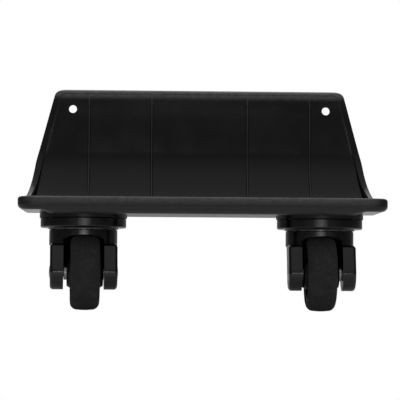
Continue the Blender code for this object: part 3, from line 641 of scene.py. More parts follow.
def make_kingpin():
    """Pin with a low head under the crown; its shank ends just below the tray floor."""
    corners = [(0, KINGPIN_HEAD_BOTTOM), (KINGPIN_HEAD_RADIUS, KINGPIN_HEAD_BOTTOM),
               (KINGPIN_HEAD_RADIUS, KINGPIN_HEAD_TOP), (KINGPIN_RADIUS, KINGPIN_HEAD_TOP),
               (KINGPIN_RADIUS, KINGPIN_END), (0, KINGPIN_END)]
    return soft_turned(corners, SMALL_EDGE)


def make_washer():
    corners = ring_profile(KINGPIN_BORE, WASHER_RADIUS, WASHER_LOW, WASHER_LOW + WASHER_THICKNESS)
    return soft_turned(corners, WASHER_THICKNESS / 5)


def make_nut():
    """Hexagon nut with chamfered corners and a chamfered bore."""
    corner = NUT_FLATS / math.sqrt(3)
    outline = [(corner * math.cos(i * math.pi / 3), corner * math.sin(i * math.pi / 3)) for i in range(6)]
    top = NUT_LOW + NUT_THICKNESS
    body = prism(outline, NUT_LOW, top)
    flat = NUT_FLATS / 2 - NUT_FACE_INSET
    shaper = [(0, NUT_LOW), (flat, NUT_LOW), (corner + FIT, NUT_LOW + NUT_FALL),
              (corner + FIT, top - NUT_FALL), (flat, top), (0, top)]
    body = combined(body, [turned(shaper, PLAIN_ROUND)], "INTERSECT")
    wide = KINGPIN_BORE + NUT_LEAD_IN
    bore = [(0, NUT_LOW - SHEET), (wide, NUT_LOW - SHEET), (wide, NUT_LOW),
            (KINGPIN_BORE, NUT_LOW + NUT_LEAD_IN), (KINGPIN_BORE, top - NUT_LEAD_IN), (wide, top),
            (wide, SHEET), (0, SHEET)]
    return combined(body, [turned(bore, PLAIN_ROUND)], "DIFFERENCE")


# Swivel bearing

def make_race(upper):
    """Pressed steel race with a groove for the balls, above or below them."""
    side = 1 if upper else -1
    back = GROOVE_RADIUS + RACE_WEB
    front = back - RACE_THICKNESS
    reach = math.acos(front / GROOVE_RADIUS)
    groove = arc((BALL_CIRCLE, 0), GROOVE_RADIUS, math.pi / 2 + reach, math.pi / 2 - reach, ARC_STEPS)
    section = [(RACE_IN, back), (RACE_IN, front)] + groove + [(RACE_OUT, front), (RACE_OUT, back)]
    return turned([(radius, BALL_Z + side * height) for radius, height in section], PLAIN_ROUND)


def make_ball_ring():
    """Retainer ring with its balls, which stand out of it above and below."""
    half = CAGE_THICKNESS / 2
    corners = ring_profile(CAGE_IN, CAGE_OUT, BALL_Z - half, BALL_Z + half)
    edit = bmesh.new()
    edit.from_mesh(soft_turned(corners, half / 2))
    for i in range(BALLS):
        angle = math.tau * i / BALLS
        centre = (BALL_CIRCLE * math.cos(angle), BALL_CIRCLE * math.sin(angle), BALL_Z)
        bmesh.ops.create_icosphere(edit, subdivisions=3, radius=BALL_RADIUS,
                                   matrix=Matrix.Translation(centre))
    return as_mesh(edit, "ball_ring")


# Fork

def wheel_room_profile():
    """Outline of the wheel space: widest in the middle, drawn in towards the arms."""
    profile = [(0, -ARM_IN)]
    for i in range(WHEEL_ROOM_STEPS + 1):
        x = ARM_IN * (2 * i / WHEEL_ROOM_STEPS - 1)
        drop = WHEEL_ROOM_DROP * abs(x / ARM_IN) ** WHEEL_ROOM_POWER
        profile.append((WHEEL_ROOM - drop, x))
    profile.append((0, ARM_IN))
    return profile


def arm_outline():
    """Side view of an arm, as (y, z): shoulder at the crown and a round lug at the axle."""
    foot = arc((-TRAIL, AXLE_Z), LUG_RADIUS, LUG_START, LUG_END, LUG_STEPS)
    upper = rounded([(*foot[-1], 0), (*SHOULDER, SHOULDER_RADIUS),
                     (SHOULDER[0] / 2, ARM_ROOT_Z, 0), (REAR_TOP_Y, ARM_ROOT_Z, 0),
                     (*REAR_WAIST, WAIST_RADIUS), (*foot[0], 0)], CORNER_STEPS)
    return foot + upper[1:-1]


def hood_outline():
    """Side view of the hood that covers the back of the wheel between the arms, as (y, z)."""
    radius = WHEEL_ROOM + HOOD_THICKNESS
    low = math.asin((HOOD_BOTTOM_Z - AXLE_Z) / radius)
    high = math.asin((HOOD_TOP_Z - AXLE_Z) / radius)
    back = arc((-TRAIL, AXLE_Z), radius, low, high, HOOD_STEPS)
    above_corner = back[3:]
    corners = [(HOOD_FRONT_Y, HOOD_BOTTOM_Z, 0), (*back[0], HOOD_CORNER)]
    corners += [(y, z, 0) for y, z in above_corner] + [(HOOD_FRONT_Y, HOOD_TOP_Z, 0)]
    return rounded(corners, HOOD_CORNER_STEPS)


def make_arm(side):
    """One arm, with its outer edge rounded over."""
    low, high = sorted((side * (ARM_IN - ARM_SPARE), side * ARM_OUT))
    mesh = prism(arm_outline(), low, high, along_x=True)
    edit = bmesh.new()
    edit.from_mesh(mesh)
    outer = side * ARM_OUT
    rim = [edge for edge in edit.edges if all(abs(v.co.x - outer) < BISECT_TOLERANCE for v in edge.verts)]
    bmesh.ops.bevel(edit, geom=rim, offset=ARM_EDGE, segments=ARM_EDGE_STEPS, profile=0.5, affect="EDGES",
                    clamp_overlap=True)
    return finished(edit, "arm")


def make_fork():
    """Crown, two arms and hood in one moulding, hollowed for what it holds, with its edges rounded."""
    corners = [(0, CROWN_BOTTOM, 0), (CROWN_RADIUS, CROWN_BOTTOM, CROWN_EDGE),
               (CROWN_RADIUS, CROWN_TOP, CROWN_EDGE), (0, CROWN_TOP, 0)]
    crown = turned(rounded(corners, EDGE_STEPS), FINE_ROUND)
    hood = prism(hood_outline(), -HOOD_HALF_WIDTH, HOOD_HALF_WIDTH, along_x=True)
    fork = combined(crown, [make_arm(-1), make_arm(1), hood], "UNION")
    axle_line = (0, -TRAIL, AXLE_Z)
    room = moved_copy(turned(wheel_room_profile(), FINE_ROUND, along_x=True), axle_line)
    head_room = KINGPIN_HEAD_RADIUS + GAP * 2
    pin_room = turned([(0, CROWN_BOTTOM * 2), (head_room, CROWN_BOTTOM * 2), (head_room, CROWN_WEB_BOTTOM),
                       (KINGPIN_BORE, CROWN_WEB_BOTTOM), (KINGPIN_BORE, 0), (0, 0)], PLAIN_ROUND)
    race_floor = BALL_Z - GROOVE_RADIUS - RACE_WEB - GAP
    race_room = turned(ring_profile(RACE_IN - GAP, RACE_OUT + GAP, race_floor, 0), PLAIN_ROUND)
    axle_profile = [(0, -ARM_OUT * 2), (SEAT_RADIUS, -ARM_OUT * 2), (SEAT_RADIUS, -HEAD_SEAT_X),
                    (AXLE_RADIUS + FIT, -HEAD_SEAT_X), (AXLE_RADIUS + FIT, NUT_SEAT_X),
                    (SEAT_RADIUS, NUT_SEAT_X), (SEAT_RADIUS, ARM_OUT * 2), (0, ARM_OUT * 2)]
    axle_room = moved_copy(turned(axle_profile, SMALL_ROUND, along_x=True), axle_line)
    fork = combined(fork, [room, pin_room, race_room, axle_room], "DIFFERENCE")
    return bevelled(fork, FORK_FILLET)


# Axle

def dome(radius, low, high):
    """Profile points of a domed end, from its rim at low to its middle at high."""
    points = [(radius * c, low + (high - low) * s) for c, s in arc((0, 0), 1, 0, math.pi / 2, ARC_STEPS)]
    points[-1] = (0, high)
    return points


def make_axle():
    """Axle pin with a low domed head at the left arm."""
    seat = -HEAD_SEAT_X - GAP
    profile = [(0, AXLE_END_X), (AXLE_RADIUS - SMALL_EDGE, AXLE_END_X),
               (AXLE_RADIUS, AXLE_END_X - SMALL_EDGE), (AXLE_RADIUS, seat), (AXLE_HEAD_RADIUS, seat)]
    return turned(profile + dome(AXLE_HEAD_RADIUS, seat - GAP * 2, -AXLE_FACE_X), PLAIN_ROUND, along_x=True)


def make_axle_nut():
    """Round cap nut on the far end of the axle, with a blind bore."""
    seat = NUT_SEAT_X + GAP
    bore = AXLE_RADIUS + FIT
    profile = [(0, AXLE_END_X + GAP), (bore, AXLE_END_X + GAP), (bore, seat), (AXLE_HEAD_RADIUS, seat)]
    return turned(profile + dome(AXLE_HEAD_RADIUS, ARM_OUT - GAP, AXLE_FACE_X), PLAIN_ROUND, along_x=True)


def make_spacer():
    """Sleeve between an arm and the bearing next to it, on the +X side."""
    shift = abs(WHEEL_SHIFT["left"])
    corners = ring_profile(AXLE_RADIUS + FIT, SPACER_RADIUS, BEARING_TO + shift + GAP, ARM_IN - GAP)
    return soft_turned(corners, SMALL_EDGE, along_x=True)


# Wheel

def make_bearing_inner():
    corners = ring_profile(AXLE_RADIUS + FIT, BEARING_INNER_OUT, BEARING_FROM, BEARING_TO)
    return soft_turned(corners, SMALL_EDGE, along_x=True)


def make_bearing_outer():
    """Outer ring with the shield that covers the balls on the outside."""
    shield = BEARING_TO - BEARING_SHIELD
    edge = SMALL_EDGE
    corners = [(BEARING_OUTER_IN, BEARING_FROM, edge), (BEARING_RADIUS, BEARING_FROM, edge),
               (BEARING_RADIUS, BEARING_TO, edge), (BEARING_RADIUS - BEARING_LAND, BEARING_TO, 0),
               (BEARING_LAND_FOOT, BEARING_TO - edge, 0), (BEARING_SHIELD_IN, BEARING_TO - edge, 0),
               (BEARING_SHIELD_IN, shield, 0), (BEARING_OUTER_IN, shield, 0)]
    return turned(rounded(corners, SOFT_STEPS), PLAIN_ROUND, along_x=True)


def make_wheel_core():
    """Hub with a collar on each side, web and rim in one moulding, with radial ribs across the web."""
    seat = BEARING_FROM - GAP
    seat_radius = BEARING_RADIUS + FIT
    bore = BEARING_OUTER_IN
    edge = SMALL_EDGE
    fillet = CORE_WEB_FILLET
    upper = [(seat_radius, COLLAR_X, COLLAR_EDGE / 2), (COLLAR_RADIUS, COLLAR_X, COLLAR_EDGE),
             (CORE_HUB_RADIUS, CORE_HUB_HALF_WIDTH, edge), (CORE_HUB_RADIUS, CORE_WEB_HALF, fillet),
             (CORE_RIM_IN, CORE_WEB_HALF, fillet), (CORE_RIM_IN, CORE_HALF_WIDTH, edge),
             (CORE_RADIUS, CORE_HALF_WIDTH, edge)]
    lower = [(radius, -x, corner) for radius, x, corner in reversed(upper)]
    inner = [(seat_radius, -seat, 0), (bore, -seat, 0), (bore, seat, 0), (seat_radius, seat, 0)]
    core = turned(rounded(upper + lower + inner, EDGE_STEPS), FINE_ROUND, along_x=True)
    rib_from = (CORE_HUB_RADIUS + seat_radius) / 2
    rib_to = (CORE_RIM_IN + CORE_RADIUS) / 2
    outline = [(-CORE_RIB_HALF, rib_from), (CORE_RIB_HALF, rib_from),
               (CORE_RIB_HALF, rib_to), (-CORE_RIB_HALF, rib_to)]
    rib = prism(outline, -CORE_RIB_REACH, CORE_RIB_REACH, along_x=True)
    ribs = [moved_copy(rib, turn=math.tau * (i + 0.5) / CORE_RIBS, axis="X") for i in range(CORE_RIBS)]
    return combined(core, ribs, "UNION")


def make_tyre():
    """Tread with round shoulders, a slight crown and a fine line round its middle."""
    shoulder_x = WHEEL_HALF_WIDTH - TYRE_SHOULDER
    shoulder_radius = WHEEL_RADIUS - TREAD_CROWN - TYRE_SHOULDER
    shoulder = arc((shoulder_x, shoulder_radius), TYRE_SHOULDER, 0, math.pi / 2, ARC_STEPS * 2)
    right = [(TYRE_IN, CORE_HALF_WIDTH), (TYRE_IN + TYRE_FOOT, CORE_HALF_WIDTH)]
    right += [(radius, x) for x, radius in shoulder]
    right += [(WHEEL_RADIUS - TREAD_CROWN / 3, shoulder_x / 2), (WHEEL_RADIUS, TREAD_LINE_HALF * 2),
              (WHEEL_RADIUS - TREAD_LINE_DEPTH / 4, TREAD_LINE_HALF)]
    left = [(radius, -x) for radius, x in reversed(right)]
    line = [(WHEEL_RADIUS - TREAD_LINE_DEPTH, 0)]
    return turned(right + line + left, FINE_ROUND, along_x=True)


# Materials

# Where the shell is painted paler, and how strongly: real scuffs with a painted highlight along the front
# lip, painted highlights on the rolled top edge and the rib tops, a painted floor reflection low on the
# lip, painted light over the lip's face, and cloudy paling towards the top of the panel
LIP_SCUFF_AND_HIGHLIGHT_FROM = 0.0012
LIP_SCUFF_AND_HIGHLIGHT_FULL = 0.106
LIP_SCUFF_AND_HIGHLIGHT_END = 0.122
ROLL_HIGHLIGHT_FROM = 0.0812
ROLL_HIGHLIGHT_TO = 0.0870
SCUFF_AND_PAINTED_LIGHT_COLOUR = (0.17, 0.17, 0.17)
LIP_FACE_PAINTED_LIGHT_SHARE = 0.30
LIP_FACE_PAINTED_LIGHT_DARKER = 0.45
LOW_FLOOR_REFLECTION_TO = -0.0018
LOW_FLOOR_REFLECTION_SHARE = 0.20
RIB_HIGHLIGHT_SHARE = 0.30
RIB_HIGHLIGHT_INNER = 0.4
RIB_HIGHLIGHT_OUTER = 0.75
TOP_PALING_FROM = 0.066
TOP_PALING_TO = 0.077
TOP_PALING_SHARE = 0.085
UNDERSIDE_ROUGHNESS = 0.27
LIP_ROUGHNESS = 0.36

# Each black plastic: colour, dusty colour, roughness, depth of its grain, specular level
PLASTICS = {
    "shell_plastic": ((0.0022, 0.0022, 0.0023), (0.0050, 0.0050, 0.0050), 0.12, 0.000005, 0.45),
    "housing_plastic": ((0.0026, 0.0026, 0.0027), (0.0060, 0.0060, 0.0060), 0.16, 0.000001, 0.62),
    "fork_plastic": ((0.0018, 0.0018, 0.0019), (0.0060, 0.0060, 0.0060), 0.13, 0.000001, 0.72),
    "wheel_core_plastic": ((0.0040, 0.0040, 0.0041), (0.0100, 0.0100, 0.0100), 0.38, 0.00001, 0.45),
}
# How much paler the convex edges are: wear and a painted edge highlight
EDGE_WEAR_AND_HIGHLIGHT_PALER = 2.2

RUBBER_COLOUR = (0.034, 0.034, 0.0345)
RUBBER_SCUFF = (0.062, 0.062, 0.062)
RUBBER_FLECK = (0.085, 0.085, 0.083)
ZINC_COLOUR = (0.62, 0.62, 0.60)
BEARING_COLOUR = (0.56, 0.57, 0.58)
PLATING_DARKER = 0.72
NYLON_COLOUR = (0.72, 0.70, 0.62)
NYLON_SHADE = (0.66, 0.62, 0.52)


class Tree:
    """The nodes of one material or world; every value is a socket, a number or a colour."""

    def __init__(self, tree):
        self.tree = tree

    def node(self, kind, **settings):
        made = self.tree.nodes.new(kind)
        for name, value in settings.items():
            if name in made.inputs:
                made.inputs[name].default_value = value
            else:
                setattr(made, name, value)
        return made

    def link(self, output, target):
        self.tree.links.new(output, target)

    def feed(self, value, target):
        """Gives an input its value."""
        if hasattr(value, "links"):
            self.link(value, target)
        elif isinstance(value, tuple):
            target.default_value = (*value, 1.0)
        else:
            target.default_value = value

    def math(self, operation, first, second=0.0):
        made = self.node("ShaderNodeMath", operation=operation)
        self.feed(first, made.inputs[0])
        self.feed(second, made.inputs[1])
        return made.outputs[0]

    def multiply(self, first, second):
        return self.math("MULTIPLY", first, second)

    def axes(self, vector):
        """The X, Y and Z parts of a vector."""
        split = self.node("ShaderNodeSeparateXYZ")
        self.link(vector, split.inputs[0])
        return split.outputs

    def band(self, value, start, end, low=0.0, high=1.0):
        """Goes smoothly from low to high while the value goes from start to end."""
        made = self.node("ShaderNodeMapRange", interpolation_type="SMOOTHSTEP")
        self.link(value, made.inputs["Value"])
        for name, number in zip(("From Min", "From Max", "To Min", "To Max"), (start, end, low, high)):
            made.inputs[name].default_value = number
        return made.outputs["Result"]

    def seen_as(self, shader, shader_for_camera):
        """One shader as a source of light and another as the camera sees it."""
        path = self.node("ShaderNodeLightPath")
        choice = self.node("ShaderNodeMixShader")
        self.link(path.outputs["Is Camera Ray"], choice.inputs[0])
        self.link(shader.outputs[0], choice.inputs[1])
        self.link(shader_for_camera.outputs[0], choice.inputs[2])
        return choice.outputs[0]


class Shader(Tree):
    """A Principled material that is built up node by node in object space."""

    def __init__(self, name, colour, roughness, metallic=0.0, specular=0.5):
        self.material = bpy.data.materials.new(name)
        self.material.use_nodes = True
        self.material.diffuse_color = (*colour, 1.0)
        super().__init__(self.material.node_tree)
        self.shader = self.tree.nodes["Principled BSDF"]
        self.set("Base Color", colour)
        self.set("Roughness", roughness)
        self.set("Metallic", metallic)
        self.set("Specular IOR Level", specular)
        self.place = self.node("ShaderNodeTexCoord").outputs["Object"]

    def set(self, name, value):
        """Gives one input of the Principled node its value."""
        self.feed(value, self.shader.inputs[name])

    def noise(self, scale, detail=3.0, roughness=0.5, stretch=(1, 1, 1)):
        """Noise with the given number of features per metre."""
        mapping = self.node("ShaderNodeMapping")
        mapping.inputs["Scale"].default_value = stretch
        self.link(self.place, mapping.inputs["Vector"])
        made = self.node("ShaderNodeTexNoise", Scale=scale, Detail=detail, Roughness=roughness)
        self.link(mapping.outputs[0], made.inputs["Vector"])
        return made.outputs["Fac"]

    def ramp(self, value, stops):
        """Colour ramp with (position, grey) stops."""
        made = self.node("ShaderNodeValToRGB")
        self.link(value, made.inputs["Fac"])
        for element, (position, grey) in zip(made.color_ramp.elements, stops):
            element.position = position
            element.color = (grey, grey, grey, 1.0)
        return made.outputs["Color"]

    def mix(self, share, first, second):
        """The second colour over the first, by its share."""
        made = self.node("ShaderNodeMix", data_type="RGBA")
        for index, value in ((0, share), (6, first), (7, second)):
            self.feed(value, made.inputs[index])
        return made.outputs[2]

    def bump(self, height, distance, strength=1.0):
        """Adds a height map, in metres of relief, on top of any bump already there."""
        made = self.node("ShaderNodeBump", Strength=strength, Distance=distance)
        self.link(height, made.inputs["Height"])
        socket = self.shader.inputs["Normal"]
        if socket.links:
            self.link(socket.links[0].from_socket, made.inputs["Normal"])
        self.link(made.outputs["Normal"], socket)

    def patches(self, noise, start, end, **shape):
        """Noise of a scale, detail and roughness as patches: 0 below its value start, 1 above end."""
        return self.ramp(self.noise(*noise, **shape), [(start, 0.0), (end, 1.0)])

    def lay(self, share, colour):
        """Lays another colour over the base colour, by its share."""
        below = self.shader.inputs["Base Color"]
        under = below.links[0].from_socket if below.links else tuple(below.default_value)[:3]
        self.set("Base Color", self.mix(share, under, colour))

    def rough(self, noise, smoothest, roughest):
        """Roughness that wanders between two values with noise of a scale and detail."""
        self.set("Roughness", self.ramp(self.noise(*noise), [(0.3, smoothest), (0.7, roughest)]))

    def rough_at_least(self, value):
        below = self.shader.inputs["Roughness"].links[0].from_socket
        self.set("Roughness", self.math("MAXIMUM", below, value))

    def convex_edges(self, low=0.53, high=0.60):
        """1 along convex edges of the mesh, 0 elsewhere."""
        geometry = self.node("ShaderNodeNewGeometry")
        return self.ramp(geometry.outputs["Pointiness"], [(low, 0.0), (high, 1.0)])


def shade(colour, times):
    """A colour made paler or darker."""
    return tuple(part * times for part in colour)


def moulded_plastic(name):
    """Black moulded plastic: fine grain, slow changes of sheen, faint dusty patches, and convex edges made
    paler for wear and a painted highlight.
    """
    colour, dusty, roughness, grain, specular = PLASTICS[name]
    made = Shader(name, colour, roughness, specular=specular)
    cloudy_paling = made.patches((38, 6.0, 0.62), 0.46, 0.74)
    specks = made.patches((1900, 2.0), 0.66, 0.74)
    # Convex edges painted paler in patches: a painted highlight that also stands for wear
    rubbed_and_lit_edges = made.multiply(made.convex_edges(), made.patches((320, 4.0), 0.42, 0.62))
    made.lay(made.multiply(cloudy_paling, 0.5), dusty)
    made.lay(made.multiply(specks, 0.35), dusty)
    made.lay(made.multiply(rubbed_and_lit_edges, 0.6), shade(dusty, EDGE_WEAR_AND_HIGHLIGHT_PALER))
    made.rough((60, 5.0), roughness - 0.03, roughness + 0.04)
    made.bump(made.noise(2600, 2.0), grain)
    made.bump(made.noise(140, 3.0), grain * 1.2, 0.5)
    return made


def on_rib_tops(made, across):
    """1 on the tops of the ribs, 0 beside them; across is the distance from the middle."""
    share = 0.0
    for rib in sorted({abs(rib) for rib in RIB_X}):
        off = made.math("ABSOLUTE", made.math("SUBTRACT", across, rib))
        near = made.band(off, RIB_TOP_WIDTH * RIB_HIGHLIGHT_OUTER, RIB_TOP_WIDTH * RIB_HIGHLIGHT_INNER)
        share = made.math("MAXIMUM", share, near)
    return share


def on_inner_face(made, y, z):
    """1 on the inner face of the cove and the panel, 0 on the back and on the tray."""
    facing = made.axes(made.node("ShaderNodeNewGeometry").outputs["Normal"])
    inwards = made.math("SUBTRACT", facing["Z"], facing["Y"])
    inner = made.math("GREATER_THAN", inwards, 0.5)
    raised = made.band(z, SHEET, SHEET * 2)
    behind_lip = made.band(y, TRAY_FRONT + LIP_THICKNESS, TRAY_FRONT + LIP_THICKNESS * 2)
    return made.multiply(made.multiply(inner, raised), behind_lip)


def shell_plastic():
    """The shell's plastic, painted paler along the lip (scuffs and a painted highlight), on the rib tops
    and the rolled top edge (painted highlights) and low on the lip (a painted floor reflection).
    """
    made = moulded_plastic("shell_plastic")
    place = made.axes(made.place)
    y = place["Y"]
    z = place["Z"]
    across = made.math("ABSOLUTE", place["X"])
    front = made.band(y, TRAY_FRONT + LIP_THICKNESS * 1.3, TRAY_FRONT + LIP_THICKNESS)
    # Front lip: real scuffs along its top plus a painted highlight, both fading out at the rounded corners,
    # which face the dark sides
    scuffed_and_lit_front = made.multiply(front, made.band(across, LIP_SCUFF_AND_HIGHLIGHT_END, LIP_SCUFF_AND_HIGHLIGHT_FULL))
    lip = made.multiply(scuffed_and_lit_front, made.band(z, LIP_SCUFF_AND_HIGHLIGHT_FROM, LIP_HEIGHT))
    # Painted highlight along the rolled top edge of the panel
    edges = made.math("MAXIMUM", lip, made.band(z, ROLL_HIGHLIGHT_FROM, ROLL_HIGHLIGHT_TO))
    patchy = made.ramp(made.noise(420, 5.0, 0.6, stretch=(0.6, 1, 1)), [(0.30, 0.45), (0.68, 1.0)])
    made.lay(made.multiply(edges, patchy), SCUFF_AND_PAINTED_LIGHT_COLOUR)
    # Painted highlight: thin pale lines along the rib tops on the inner face
    ribs = made.multiply(on_rib_tops(made, across), on_inner_face(made, y, z))
    made.lay(made.multiply(ribs, RIB_HIGHLIGHT_SHARE), SCUFF_AND_PAINTED_LIGHT_COLOUR)
    # Paler in cloudy patches towards the top of the panel
    cloudy = made.patches((26, 5.0, 0.6), 0.36, 0.62, stretch=(1, 1, 2.5))
    cloudy_paling = made.multiply(cloudy, TOP_PALING_SHARE)
    made.lay(made.multiply(made.band(z, TOP_PALING_FROM, TOP_PALING_TO), cloudy_paling), SCUFF_AND_PAINTED_LIGHT_COLOUR)
    # Painted reflection of the pale floor, low on the outer face of the lip
    low = made.multiply(front, made.band(z, 0.0, LOW_FLOOR_REFLECTION_TO))
    made.lay(made.multiply(low, LOW_FLOOR_REFLECTION_SHARE), SCUFF_AND_PAINTED_LIGHT_COLOUR)
    # Painted light: a grey over the whole front face of the lip, fading out at the corners
    made.lay(made.multiply(scuffed_and_lit_front, LIP_FACE_PAINTED_LIGHT_SHARE), shade(SCUFF_AND_PAINTED_LIGHT_COLOUR, LIP_FACE_PAINTED_LIGHT_DARKER))
    underside = made.band(z, -SHEET * 0.4, -SHEET * 0.8)
    made.rough_at_least(made.multiply(underside, UNDERSIDE_ROUGHNESS))
    made.rough_at_least(made.multiply(front, LIP_ROUGHNESS))
    return made.material


def rubber():
    """Matt black rubber with a mottled, slightly dusty tread."""
    made = Shader("tread_rubber", RUBBER_COLOUR, 0.72, specular=0.22)
    scuffs = made.patches((150, 6.0, 0.65), 0.45, 0.66)
    flecks = made.patches((900, 3.0), 0.62, 0.72)
    made.lay(made.multiply(scuffs, 0.55), RUBBER_SCUFF)
    made.lay(made.multiply(flecks, 0.4), RUBBER_FLECK)
    made.rough((220, 4.0), 0.66, 0.84)
    made.bump(made.noise(1500, 3.0), 0.00006)
    made.bump(made.noise(260, 3.0), 0.00010, 0.6)
    return made.material


def plated_steel(name, colour, roughness, stretch):
    """Bright steel with fine turning marks and cloudy plating."""
    made = Shader(name, colour, roughness, metallic=1.0)
    made.lay(made.patches((240, 4.0), 0.35, 0.7), shade(colour, PLATING_DARKER))
    made.rough((600, 3.0), roughness - 0.08, roughness + 0.12)
    made.bump(made.noise(900, 3.0, stretch=stretch), 0.00002)
    return made.material


def nylon():
    """Natural nylon of the ball retainer."""
    made = Shader("cage_nylon", NYLON_COLOUR, 0.45)
    made.set("Subsurface Weight", 0.1)
    made.shader.inputs["Subsurface Radius"].default_value = (0.001, 0.001, 0.0008)
    made.lay(made.noise(300, 4.0), NYLON_SHADE)
    made.rough((500, 3.0), 0.38, 0.55)
    made.bump(made.noise(1200, 3.0), 0.00002)
    return made.material


def make_materials():
    """One material for each material slot of the record."""
    return {
        "shell_plastic": shell_plastic(),
        "housing_plastic": moulded_plastic("housing_plastic").material,
        "fork_plastic": moulded_plastic("fork_plastic").material,
        "core_plastic": moulded_plastic("wheel_core_plastic").material,
        "tread_rubber": rubber(),
        "zinc_steel": plated_steel("zinc_plated_steel", ZINC_COLOUR, 0.30, (1, 1, 1)),
        "bearing_steel": plated_steel("bearing_steel", BEARING_COLOUR, 0.20, (1, 1, 6)),
        "cage_nylon": nylon(),
    }


# Assembly

SLOT_OF = {part["node"]: part["material_slot"] for part in frame["record"]["subparts"]}
BODY_OF = {node: body for body, nodes in frame["record"]["behaviour"]["bodies"].items() for node in nodes}


def even_normals(mesh):
    """Corner normals weighted by face area, so that the roundings don't bend the look of flat faces."""
    corners = np.empty(len(mesh.loops), dtype=int)
    sizes = np.empty(len(mesh.polygons), dtype=int)
    areas = np.empty(len(mesh.polygons))
    facings = np.empty(len(mesh.polygons) * 3)
    mesh.loops.foreach_get("vertex_index", corners)
    mesh.polygons.foreach_get("loop_total", sizes)
    mesh.polygons.foreach_get("area", areas)
    mesh.polygons.foreach_get("normal", facings)
    order = np.argsort(corners, kind="stable")
    face_of = np.repeat(np.arange(len(sizes)), sizes)[order]
    facing = facings.reshape(-1, 3)[face_of]
    weighted = facing * areas[face_of][:, None]
    total = weighted.copy()
    corners = corners[order]
    flattest = math.cos(SMOOTH_ANGLE)
    for step in range(1, len(corners)):
        shared = corners[step:] == corners[:-step]
        if not shared.any():
            break
        smooth = np.einsum("ij,ij->i", facing[step:], facing[:-step]) > flattest
        joined = shared & smooth
        total[step:][joined] += weighted[:-step][joined]
        total[:-step][joined] += weighted[step:][joined]
    normals = np.empty_like(total)
    normals[order] = total / np.maximum(np.linalg.norm(total, axis=1), SMALLEST_NORMAL)[:, None]
    mesh.normals_split_custom_set(normals.tolist())


def put(node, mesh, materials, place=Matrix.Identity(4)):
    """A fine piece in place of one CAD node: same body, same material slot."""
    own = mesh.copy()
    own.transform(place)
    own.name = node + "_fine"
    own.materials.clear()
    own.materials.append(materials[SLOT_OF[node]])
    own.shade_smooth()
    own.set_sharp_from_angle(angle=SMOOTH_ANGLE)
    even_normals(own)
    piece = placed(node + "_fine", own)
    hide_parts(node)
    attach(piece, BODY_OF[node])


def build_object(materials):
    """Every piece in its place, with one mesh for both casters."""
    put("base_shell", make_shell(), materials)
    fixed = {
        "swivel_housing": make_housing(),
        "kingpin": make_kingpin(),
        "kingpin_washer": make_washer(),
        "kingpin_nut": make_nut(),
        "upper_race": make_race(True),
    }
    turning = {
        "lower_race": make_race(False),
        "ball_ring": make_ball_ring(),
        "fork": make_fork(),
    }
    on_axle = {"axle": make_axle(), "axle_nut": make_axle_nut()}
    on_wheel = {"wheel_core": make_wheel_core(), "tyre": make_tyre()}
    paired = {"bearing_inner": make_bearing_inner(), "bearing_outer": make_bearing_outer()}
    screw = make_housing_screw()
    spacer = make_spacer()
    for side in SIDES:
        at_mount = Matrix.Translation((SWIVEL_AT[side].x, SWIVEL_AT[side].y, 0))
        at_swivel = at_mount @ Matrix.Rotation(YAW[side], 4, "Z")
        at_axle = at_swivel @ Matrix.Translation((0, -TRAIL, AXLE_Z))
        at_wheel = at_axle @ Matrix.Translation((WHEEL_SHIFT[side], 0, 0))
        for group, place in ((fixed, at_mount), (turning, at_swivel), (on_axle, at_axle),
                             (on_wheel, at_wheel)):
            for kind, mesh in group.items():
                put(side + "_" + kind, mesh, materials, place)
        for number, (dx, dy) in enumerate(SCREW_SPOTS, 1):
            turn = Matrix.Rotation(SCREW_TURN * number, 4, "Z")
            place = at_mount @ Matrix.Translation((dx, dy, 0)) @ turn
            put("%s_housing_screw_%d" % (side, number), screw, materials, place)
        for suffix, turn in (("_a", math.pi), ("_b", 0.0)):
            half_turn = Matrix.Rotation(turn, 4, "Z")
            put(side + "_axle_spacer" + suffix, spacer, materials, at_axle @ half_turn)
            for kind, mesh in paired.items():
                put(side + "_" + kind + suffix, mesh, materials, at_wheel @ half_turn)


# Studio

CAMERA_AT = Vector((-0.0374, -1.1905, -0.0526))
CAMERA_YAW = math.radians(1.739)
CAMERA_PITCH = math.radians(2.913)
CAMERA_ROLL = math.radians(0.362)
CAMERA_LENS = 158.9
SENSOR = 36.0
CAMERA_CLIP = (0.01, 50)

FLOOR_RADIUS = 6.0
FLOOR_PALE = (0.85, 0.85, 0.85)
FLOOR_GLOW = 0.10
WHITE = (1.0, 1.0, 1.0)

# Brightness of the world by a part of the direction: (from, to, first, last)
WORLD_UPWARDS = (-0.05, 0.85, 0.17, 0.42)
WORLD_BACKWARDS = (-0.10, 0.70, 0.0, 0.06)
WORLD_SIDEWAYS = (0.30, 0.90, 1.0, 0.28)

# Softboxes: place, point they face, width, height, radiance
LIGHTS = {
    "front_card": ((0.03, -1.6, 0.038), (0.03, 0, 0.038), 0.90, 0.044, 2.2),
    "front_strip": ((0.03, -1.59, 0.040), (0.03, 0, 0.040), 0.40, 0.034, 3.4),
    "overhead_back": ((0, 0.9, 1.3), (0, 0, 0), 1.6, 0.8, 0.8),
}


def make_camera():
    """Camera in front of the open side, just above the floor, looking slightly up."""
    yaw = Matrix.Rotation(-CAMERA_YAW, 4, "Z")
    pitch = Matrix.Rotation(math.pi / 2 + CAMERA_PITCH, 4, "X")
    roll = Matrix.Rotation(CAMERA_ROLL, 4, "Z")
    camera = placed("camera", bpy.data.cameras.new("camera"))
    camera.data.sensor_width = SENSOR
    camera.data.lens = CAMERA_LENS
    camera.data.clip_start, camera.data.clip_end = CAMERA_CLIP
    camera.matrix_world = Matrix.Translation(CAMERA_AT) @ yaw @ pitch @ roll
    bpy.context.scene.camera = camera


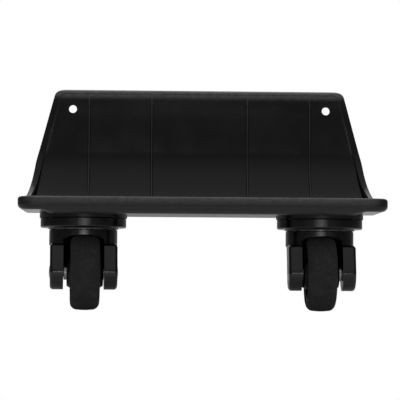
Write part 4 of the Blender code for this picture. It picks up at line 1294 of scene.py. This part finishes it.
def area_light(name, at, towards, width, height, radiance):
    """Rectangular softbox that is unseen by the camera; its power follows from its radiance."""
    light = bpy.data.lights.new(name, "AREA")
    light.shape = "RECTANGLE"
    light.size = width
    light.size_y = height
    light.energy = math.pi * width * height * radiance
    lamp = placed(name, light)
    lamp.location = at
    lamp.rotation_euler = (Vector(towards) - Vector(at)).to_track_quat("-Z", "Y").to_euler()
    lamp.visible_camera = False


def floor_material():
    """Matt and pale as a source of light, plain white as the camera sees it."""
    made = Shader("pale_floor", FLOOR_PALE, 0.9, specular=0.0)
    made.set("Emission Color", WHITE)
    made.set("Emission Strength", FLOOR_GLOW)
    white = made.node("ShaderNodeEmission")
    output = made.tree.nodes["Material Output"]
    made.link(made.seen_as(made.shader, white), output.inputs["Surface"])
    return made.material


def make_floor():
    """Plain pale floor that meets the white background without a line."""
    edit = bmesh.new()
    bmesh.ops.create_circle(edit, cap_ends=True, segments=PLAIN_ROUND, radius=FLOOR_RADIUS)
    mesh = as_mesh(edit, "floor")
    mesh.materials.append(floor_material())
    floor = placed("floor", mesh)
    floor.location.z = GROUND_Z


def make_world():
    """White to the eye; as a source of light it is brighter above and dimmer at the sides."""
    world = bpy.data.worlds.new("studio")
    world.use_nodes = True
    world.node_tree.nodes.clear()
    made = Tree(world.node_tree)
    direction = made.axes(made.node("ShaderNodeTexCoord").outputs["Generated"])
    total = made.math("ADD", made.band(direction["Z"], *WORLD_UPWARDS),
                      made.band(direction["Y"], *WORLD_BACKWARDS))
    aside = made.math("ABSOLUTE", direction["X"])
    lit = made.node("ShaderNodeBackground")
    seen = made.node("ShaderNodeBackground")
    for background in (lit, seen):
        made.feed(WHITE, background.inputs["Color"])
    made.feed(made.multiply(total, made.band(aside, *WORLD_SIDEWAYS)), lit.inputs["Strength"])
    output = made.node("ShaderNodeOutputWorld")
    made.link(made.seen_as(lit, seen), output.inputs["Surface"])
    bpy.context.scene.world = world


def main():
    """Builds the object and its studio."""
    bpy.context.scene.view_settings.view_transform = "Standard"
    build_object(make_materials())
    make_floor()
    make_world()
    for name, settings in LIGHTS.items():
        area_light(name, *settings)
    make_camera()


main()
